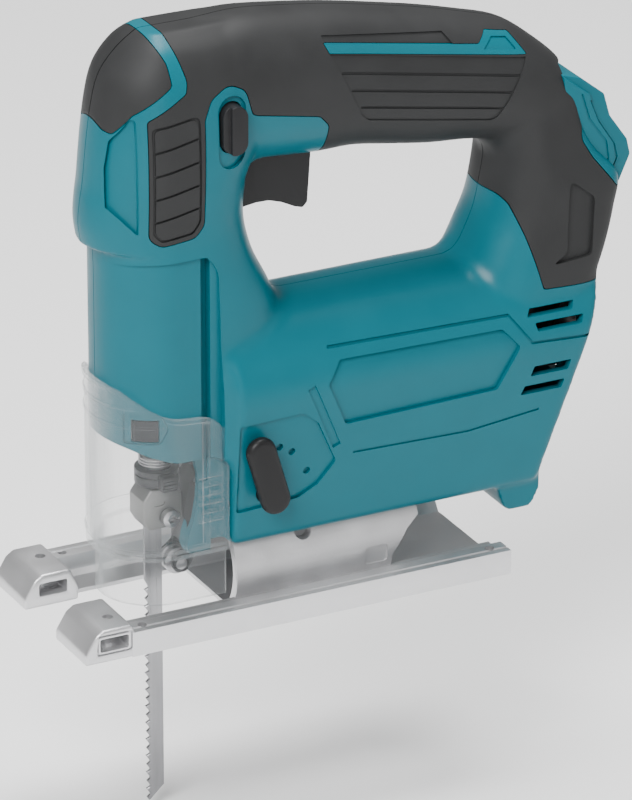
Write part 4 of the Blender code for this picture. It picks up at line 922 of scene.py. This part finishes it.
class JIGSAW_OT_guard(bpy.types.Operator):
    """Build the clear chip guard with its ledges and grip ribs, and the lamp lens."""
    bl_idname = "jigsaw.guard"
    bl_label = "Chip guard and lamp"

    RIM = [(-70, 92.7), (-62, 92), (-58, 90.2), (-54, 87), (-50, 83.8), (-46, 81.4), (-42, 79.9),
           (-38, 79.2), (-32, 78.8), (-28.5, 78), (-25.4, 76), (-23, 73), (-21.2, 68.5), (-18, 60)]

    def execute(self, context):
        guard = prism("guard", u_plan(23.5, -21), "Z", 26, 93.7)
        join(guard, prism("skirt", u_plan(20.5, -21), "Z", 7.7, 27))
        cut(guard, self.above_rim())
        join(guard, self.rim_bead())
        for z in (84, 77, 30.5):
            band = prism("ledge", u_plan(23.5 + 0.4, -22.5), "Z", z, z + 1.1)
            cut(band, block("behind", (-46 if z > 75 else -30, 0), (-40, 40), (0, 120)))
            cut(band, self.above_rim())
            join(guard, band)
        for i in range(6):
            z = 38.5 + 3.4 * i
            for side in (-1, 1):
                join(guard, block("rib", (-33, -23.6), span(side, 23.0, 24.1), (z, z + 1.4)))
        cut(guard, prism("room", u_plan(22.1, -10), "Z", 27.4, 130))
        cut(guard, prism("room", u_plan(19.1, -10), "Z", 0, 30))
        for side in (-1, 1):
            join(guard, block("runner", (-30.3, -27.7), span(side, 21.0, 22.6), (29, 76)))
        bevel(guard, 0.35, 2, 40)
        piece(guard, "chip_guard_shell", "guard", "clear_guard", FINISHES["clear"], "chip_guard")
        self.make_lamp()
        return {"FINISHED"}

    def above_rim(self):
        """Everything over the sloping rim."""
        return prism("rim", self.RIM + [(-18, 120), (-70, 120)], "Y", -40, 40)

    def rim_bead(self):
        """A small thickening just under the sloping rim."""
        bead = prism("bead", u_plan(24.2, -21.2), "Z", 60, 95)
        cut(bead, self.above_rim())
        lower = [(x, z - 1.6) for x, z in self.RIM]
        cut(bead, prism("rim", lower + [(-17, 50), (-70, 50)], "Y", -40, 40))
        return bead

    def column_round(self, radius):
        return rod("round", "Z", (COLUMN_X, 0), 60, 90, radius, 128)

    def make_lamp(self):
        """The work lamp's window, rounded to the column and ribbed across."""
        lens = block("lens", (-54.4, -46.6), (-30, -14.5), (71.4, 79.1))
        keep(lens, self.column_round(21.2))
        bevel(lens, 0.4, 2, 40)
        window = block("window", (-53.5, -47.5), (-30, -15), (72.3, 78.2))
        cut(window, self.column_round(20.7))
        cut(lens, window)
        for i in range(4):
            z = 73.5 + 1.2 * i
            rib = block("rib", (-53, -48), (-30, -15), (z, z + 0.5))
            cut(rib, self.column_round(20.5))
            cut(lens, rib)
        piece(lens, "lamp_window", ROOT, "lamp_lens", FINISHES["lens"], "lamp_lens")


class JIGSAW_OT_shoe(bpy.types.Operator):
    """Build the cast shoe with its stepped rails, slotted prongs and tilting saddle."""
    bl_idname = "jigsaw.shoe"
    bl_label = "Shoe"

    def execute(self, context):
        shoe = block("plate", (-19, 84.25), (-36, 36), (0, 1.5))
        for side in (-1, 1):
            join(shoe, self.rail(side), self.prong(side))
        bevel(shoe, 0.45, 2, 25)
        for side in (-1, 1):
            for x in (-60, 78):
                cut(shoe, rod("hole", "Z", (x, side * 33), -1, 12, 1.7, 24))
                cut(shoe, turned("sink", "Z", (x, side * 33), [(-1, 3.4), (0.2, 3.2), (1.4, 1.7)], 32))
            cut(shoe, rod("hole", "Z", (-70.9, side * 28), 3, 20, 1.9, 24))
        cut(shoe, rod("key hole", "Z", (BOLT_X, 0), -1, 4, 5, 40))
        join(shoe, self.saddle())
        piece(shoe, "shoe_casting", "shoe", "cast_shoe", FINISHES["cast"], "shoe")
        # The saddle and the channel between the rails take the darker saddle finish: painted shade in the
        # shoe's recesses, over a coarser casting grain.
        shoe.data.materials.append(FINISHES["saddle"])
        for face in shoe.data.polygons:
            centre = face.center / MM
            if centre.z > 2.2 and abs(centre.y) < 25 and centre.x > -19:
                if math.hypot(centre.y, centre.z - 14) > 19.5:
                    face.material_index = 1
        return {"FINISHED"}

    def rail(self, side):
        """Side of the shoe: inner rise, ledge, slope and top, with a line along the top."""
        section = [(17.8, 0), (17.8, 1.5), (20.7, 5.5), (25.6, 5.5), (26.4, 5.0), (27.0, 5.6), (29.8, 9.3),
                   (34.2, 9.3), (34.8, 8.7), (35.4, 9.3), (38, 9.3), (38, 0)]
        return prism("rail", [(side * y, z) for y, z in section], "X", -66, 84.25)

    def prong(self, side):
        outline = [(-84.25, 0), (-63, 0), (-63, 5), (-66, 12.4), (-77.25, 12.4), (-80.25, 10.4),
                   (-84.25, 4)]
        body = prism("prong", outline, "Y", *span(side, 12.7, 38))
        bevel(body, 1.1, 4, 20)
        slot = rounded([(-78.5, 4.3), (-67.5, 4.3), (-67.5, 9.3), (-78.5, 9.3)], 0.8)
        cut(body, prism("slot", slot, "Y", *span(side, 10, 40)))
        low, high = span(side, 36.9, 40)
        frame_line = rounded([(-80, 3), (-66, 3), (-66, 10.8), (-79, 10.8)], 1.2)
        frame_tool = prism("frame", frame_line, "Y", low, high)
        inner_line = rounded([(-79.2, 3.7), (-66.8, 3.7), (-66.8, 10), (-79.2, 10)], 1)
        cut(frame_tool, prism("frame", inner_line, "Y", low - 1, high + 1))
        cut(body, frame_tool)
        return body

    def saddle(self):
        """Half-round bracket that the body tilts on, slotted across for its bolt."""
        saddle = rod("saddle", "X", (0, TILT_Z), -18, 55, 23.5, 128)
        cut(saddle, rod("room", "X", (0, TILT_Z), -19, 56, 20, 128))
        cut(saddle, block("below", (-19, 56), (-40, 40), (-20, 0.5)))
        edge_cut = rounded([(44, -5), (44, 10), (50, 19), (55.5, 23.5), (60, 24), (60, -5)], 3)
        cut(saddle, *side_prisms("edge", edge_cut, 15, 40))
        bevel(saddle, 0.8, 3, 40)
        cut(saddle, block("slot", (BOLT_X - 3.4, BOLT_X + 3.4), (-38, 38), (26, 45)))
        cut(saddle, rod("slot end", "Y", (BOLT_X, 26), -38, 38, 3.4, 48))
        for side in (-1, 1):
            frame_line = rounded([(33, 8), (42, 8), (42, 15), (33, 15)], 1.5)
            cut(saddle, prism("pad", frame_line, "Y", *span(side, 22.4, 30)))
        return saddle


class JIGSAW_OT_blade_drive(bpy.types.Operator):
    """Build the blade, its clamp, the plunger rod, spring, roller and roller arm."""
    bl_idname = "jigsaw.blade_drive"
    bl_label = "Blade and clamp"

    def execute(self, context):
        self.make_blade()
        self.make_clamp()
        self.make_plunger()
        self.make_roller()
        self.make_arm()
        return {"FINISHED"}

    def make_blade(self):
        """Toothed strip; each tooth is set a little to one side of the one before."""
        front, back = -43.3, -36.5
        pitch, first = 3.3, -77.5
        outline = [(back, -73.6), (front + 1, -79)]
        for i in range(26):
            low = first + i * pitch
            outline += [(front, low), (front + 0.55, low + 0.15), (front + 1.45, low + 0.75),
                        (front + 1.3, low + 1.3)]
        outline += [(front, 8.9), (front, 35.2), (front + 0.8, 36), (back - 0.8, 36), (back, 35.2)]
        blade = prism("blade", outline, "Y", -0.6, 0.6)
        bevel(blade, 0.12, 1, 50)
        for vertex in blade.data.vertices:
            x, z = vertex.co.x / MM, vertex.co.z / MM
            if x < front + 0.9 and z < 8:
                tooth = int(math.floor((z - first) / pitch + 0.2))
                way = 1 if tooth % 2 else -1
                vertex.co.y += way * 0.25 * MM * (1 - (x - front) / 0.9)
        for i in range(2):
            tang = block("flute", (-41.8 + 2.6 * i, -41.2 + 2.6 * i), (-2, -0.5), (-20, 30))
            cut(blade, tang)
        piece(blade, "blade_strip", "plunger", "blade_steel", FINISHES["blade"], "blade", sharp=25)

    def make_clamp(self):
        outline = [(-46, 34), (-44, 30.5), (-33, 30.5), (-31, 33), (-31, 43), (-33, 46), (-43, 46),
                   (-46, 42)]
        screw_at = (-36.5, 35)
        body = prism("body", rounded(outline, 1.2), "Y", -6, 6)
        bevel(body, 0.7, 3, 45)
        cut(body, block("slot", (-44, -36.2), (-0.9, 0.9), (20, 36.3)))
        cut(body, rod("thread", "Y", screw_at, -7, -2, 1.9, 24))
        cut(body, prism("mark", capsule((-41.2, 40.5), (-38.8, 40.5), 1.1), "Y", -8, -5.6))
        cut(body, rod("recess", "Y", screw_at, -7, -5.8, 4.0, 40))
        piece(body, "clamp_block", "plunger", "machined_steel", FINISHES["clamp"], "clamp_body")
        screw = turned("screw", "Y", screw_at, [(-9.5, 2.7), (-9.2, 3.25), (-8.7, 3.4), (-6.6, 3.4),
                                                   (-6.3, 1.6), (-2.5, 1.6)], 40)
        cut(screw, rod("socket", "Y", screw_at, -11, -7.6, 1.75, 6))
        for k in range(16):
            angle = 2 * math.pi * k / 16
            centre = (screw_at[0] + 3.55 * math.cos(angle), screw_at[1] + 3.55 * math.sin(angle))
            cut(screw, rod("knurl", "Y", centre, -9, -6.5, 0.32, 8))
        piece(screw, "clamp_cap_screw", "plunger", "machined_steel", FINISHES["steel"], "clamp_screw")
        sleeve = turned("sleeve", "Z", (ROD_X, 0), [(46.6, 7.4), (47.1, 8), (50, 8), (50.4, 7.6), (50.8, 8),
                                                  (52.6, 8), (53, 7.4)], 64)
        tab = block("tab", (-41, -35), (-11.5, -6), (46.6, 52.3))
        bevel(tab, 0.8, 3, 45)
        join(sleeve, tab)
        for i in range(3):
            cut(sleeve, block("grip", (-42, -34), (-12, -11.1), (48 + 1.3 * i, 48.5 + 1.3 * i)))
        cut(sleeve, rod("bore", "Z", (ROD_X, 0), 40, 60, 5.3, 64))
        piece(sleeve, "clamp_collar", "sleeve", "machined_steel", FINISHES["dark_steel"], "clamp_sleeve")

    def make_plunger(self):
        profile = [(46.3, 4.6), (46.8, 5), (58.6, 5), (58.9, 4.6), (59.6, 4.6), (59.9, 5), (139.4, 5),
                   (140, 4.4)]
        bar = turned("bar", "Z", (ROD_X, 0), profile, 64)
        piece(bar, "plunger_bar", "plunger", "machined_steel", FINISHES["steel"], "plunger_rod")
        turns, steps = 3.5, 96
        path = []
        for i in range(steps + 1):
            t = i / steps
            angle = 2 * math.pi * turns * t
            lift = min(max((t - 0.12) / 0.76, 0), 1)
            path.append((ROD_X + 6.1 * math.cos(angle), 6.1 * math.sin(angle), 54.3 + 3.0 * lift))
        spring = tube("spring", path, 0.42, 10)
        piece(spring, "clamp_coil", "plunger", "machined_steel", FINISHES["steel"], "clamp_spring")

    def make_roller(self):
        axle = (-31.2, 15)
        wheel = turned("wheel", "Y", axle, [(-3, 4.4), (-2.6, 5), (-1.1, 5), (-0.75, 4.3), (0.75, 4.3),
                                            (1.1, 5), (2.6, 5), (3, 4.4)], 64)
        cut(wheel, rod("bore", "Y", axle, -4, 4, 1.8, 32))
        piece(wheel, "guide_roller", "roller", "machined_steel", FINISHES["steel"], "blade_roller")
        pin = turned("pin", "Y", axle, [(-6.1, 1.6), (-5.9, 2.1), (-5.5, 2.2), (-5.5, 1.5), (5.5, 1.5),
                                        (5.5, 2.2), (5.9, 2.1), (6.1, 1.6)], 32)
        piece(pin, "roller_rivet", "arm", "machined_steel", FINISHES["steel"], "roller_pin")

    def make_arm(self):
        outline = [(-27.8, 46), (-24.5, 49.4), (-20.4, 49), (-20.4, 42), (-25, 30), (-26.5, 16),
                   (-29, 11.5), (-33, 11.5), (-34.5, 14), (-34, 17.5), (-30, 20.5), (-30, 36)]
        arm = prism("arm", rounded(outline, 2.2), "Y", -5.5, 5.5)
        cut(arm, block("fork", (-40, -26), (-3.4, 3.4), (8, 22)))
        bevel(arm, 0.4, 2, 40)
        pocket = rounded([(-28, 26), (-27, 36), (-24.6, 36), (-26.6, 26)], 1)
        cut(arm, *side_prisms("pocket", pocket, 4.9, 9))
        join(arm, block("tail", (-22, -12.4), (-3.5, 3.5), (44.2, 47.8)))
        for centre in ((-24.5, 46), (-31.2, 15)):
            cut(arm, rod("hole", "Y", centre, -8, 8, 1.8, 32))
        piece(arm, "roller_fork", "arm", "machined_steel", FINISHES["dark_steel"], "roller_arm")


class JIGSAW_OT_fasteners(bpy.types.Operator):
    """Build the housing screws with star drives, and the shoe bolt."""
    bl_idname = "jigsaw.fasteners"
    bl_label = "Fasteners"

    def execute(self, context):
        for name, (x, z) in SCREWS.items():
            node = "housing_screw_" + name
            head = screw_head_y(z)
            profile = [(-11.5, 0.6), (-10, 1.5), (head, 1.5), (head, 3.1), (head + 0.4, 3.2),
                       (head + 1.9, 3.0), (head + 2.5, 2.3), (head + 2.6, 1.6)]
            screw = turned("screw", "Y", (x, z), profile, 40)
            cut(screw, prism("star", self.star(x, z), "Y", head + 0.9, head + 5))
            piece(screw, node + "_star", ROOT, "screw_steel", FINISHES["dark_steel"], node)
        self.make_bolt()
        return {"FINISHED"}

    def star(self, x, z):
        points = []
        for i in range(36):
            angle = 2 * math.pi * i / 36
            radius = 1.3 + 0.32 * math.cos(6 * angle)
            points.append((x + radius * math.cos(angle), z + radius * math.sin(angle)))
        return points

    def make_bolt(self):
        profile = [(27.5, 4.5), (28, 5), (32, 5), (32.5, 4.6), (32.5, 3), (46.1, 3), (46.5, 2.6)]
        bolt = turned("bolt", "Z", (BOLT_X, 0), profile, 48)
        cut(bolt, rod("socket", "Z", (BOLT_X, 0), 26, 30, 2.3, 6))
        piece(bolt, "shoe_cap_screw", ROOT, "machined_steel", FINISHES["steel"], "shoe_bolt")


# mechanical nodes that stay as they are, by the finish they take
DRESS = {
    "copper": ["armature"], "magnet": ["magnet_left", "magnet_right", "brush_left", "brush_right"],
    "black": ["motor_end_cap", "cooling_fan", "switch_body", "speed_controller", "lead_black"],
    "red": ["lead_red"], "board": ["lamp_board"], "inner_cast": ["gear_plate", "plunger_guide"],
    "dark_steel": ["motor_can", "yoke", "shoe_nut_plate"],
}


class JIGSAW_OT_dress(bpy.types.Operator):
    """Give every mechanical node a finish without moving or changing it."""
    bl_idname = "jigsaw.dress"
    bl_label = "Inner parts"

    def execute(self, context):
        chosen = {node: finish for finish, nodes in DRESS.items() for node in nodes}
        for name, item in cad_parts.items():
            finish = FINISHES[chosen.get(name, "steel")]
            if not item.material_slots:
                item.data.materials.append(finish)
            for slot in item.material_slots:
                slot.material = finish
        return {"FINISHED"}


class JIGSAW_OT_stage(bpy.types.Operator):
    """Set the pale floor, the soft studio light and the camera."""
    bl_idname = "jigsaw.stage"
    bl_label = "Stage"

    def execute(self, context):
        scene = context.scene
        floor = block("studio floor", (-6000, 6000), (-6000, 6000), (-84, -82))
        floor.name = "studio_floor"
        floor.data.materials.append(textured("studio paper", (0.88, 0.88, 0.88), 0.85, grain=40,
                                             bump=0.02, mottle=0.01, patch=2))
        world = bpy.data.worlds.new("studio")
        world.use_nodes = True
        world.node_tree.nodes["Background"].inputs["Color"].default_value = (1, 1, 1, 1)
        world.node_tree.nodes["Background"].inputs["Strength"].default_value = 0.32
        scene.world = world
        lights = [("key", (-1.0, -0.9, 1.3), 1.0, 50), ("fill", (1.3, -1.2, 0.6), 1.4, 4),
                  ("top", (0.2, 0.2, 1.8), 1.0, 50), ("front", (-0.5, -1.8, 0.25), 1.0, 3)]
        aim = Vector((0.02, 0, 0.09))
        for name, spot, size, power in lights:
            data = bpy.data.lights.new(name, "AREA")
            data.shape = "DISK"
            data.size = size
            data.energy = power
            lamp = bpy.data.objects.new(name + "_light", data)
            lamp.location = spot
            lamp.rotation_euler = (aim - Vector(spot)).to_track_quat("-Z", "Y").to_euler()
            scene.collection.objects.link(lamp)
        self.place_camera(scene)
        return {"FINISHED"}

    def place_camera(self, scene):
        azimuth, height = math.radians(26.9405), math.radians(24.0273)
        target = Vector((0.025118, 0.0, 0.064952))
        back = Vector((-math.sin(azimuth) * math.cos(height), -math.cos(azimuth) * math.cos(height),
                       math.sin(height)))
        data = bpy.data.cameras.new("camera")
        data.lens = 316.2
        data.sensor_width = 36.0
        camera = bpy.data.objects.new("camera", data)
        camera.location = target + 2.5 * back
        camera.rotation_euler = (-back).to_track_quat("-Z", "Y").to_euler()
        scene.collection.objects.link(camera)
        scene.camera = camera


OPERATORS = (JIGSAW_OT_housing, JIGSAW_OT_rear_cap, JIGSAW_OT_controls, JIGSAW_OT_guard, JIGSAW_OT_shoe,
             JIGSAW_OT_blade_drive, JIGSAW_OT_fasteners, JIGSAW_OT_dress, JIGSAW_OT_stage)


class JIGSAW_PT_panel(bpy.types.Panel):
    """Buttons and sizes of the jigsaw."""
    bl_idname = "JIGSAW_PT_panel"
    bl_label = "Jigsaw"
    bl_space_type = "VIEW_3D"
    bl_region_type = "UI"
    bl_category = "Jigsaw"

    def draw(self, context):
        for group in (context.scene.jigsaw_sizes, context.scene.jigsaw_colours):
            box = self.layout.box()
            for name in group.__annotations__:
                box.prop(group, name)
        for operator in OPERATORS:
            self.layout.operator(operator.bl_idname)


CLASSES = (JigsawSizes, JigsawColours, *OPERATORS, JIGSAW_PT_panel)


def register():
    for entry in CLASSES:
        bpy.utils.register_class(entry)
    bpy.types.Scene.jigsaw_sizes = PointerProperty(type=JigsawSizes)
    bpy.types.Scene.jigsaw_colours = PointerProperty(type=JigsawColours)


def unregister():
    del bpy.types.Scene.jigsaw_colours
    del bpy.types.Scene.jigsaw_sizes
    for entry in reversed(CLASSES):
        bpy.utils.unregister_class(entry)


def main():
    register()
    FINISHES.update(make_finishes())
    bpy.ops.jigsaw.housing()
    bpy.ops.jigsaw.rear_cap()
    bpy.ops.jigsaw.controls()
    bpy.ops.jigsaw.guard()
    bpy.ops.jigsaw.shoe()
    bpy.ops.jigsaw.blade_drive()
    bpy.ops.jigsaw.fasteners()
    bpy.ops.jigsaw.dress()
    bpy.ops.jigsaw.stage()


if __name__ == "__main__":
    main()
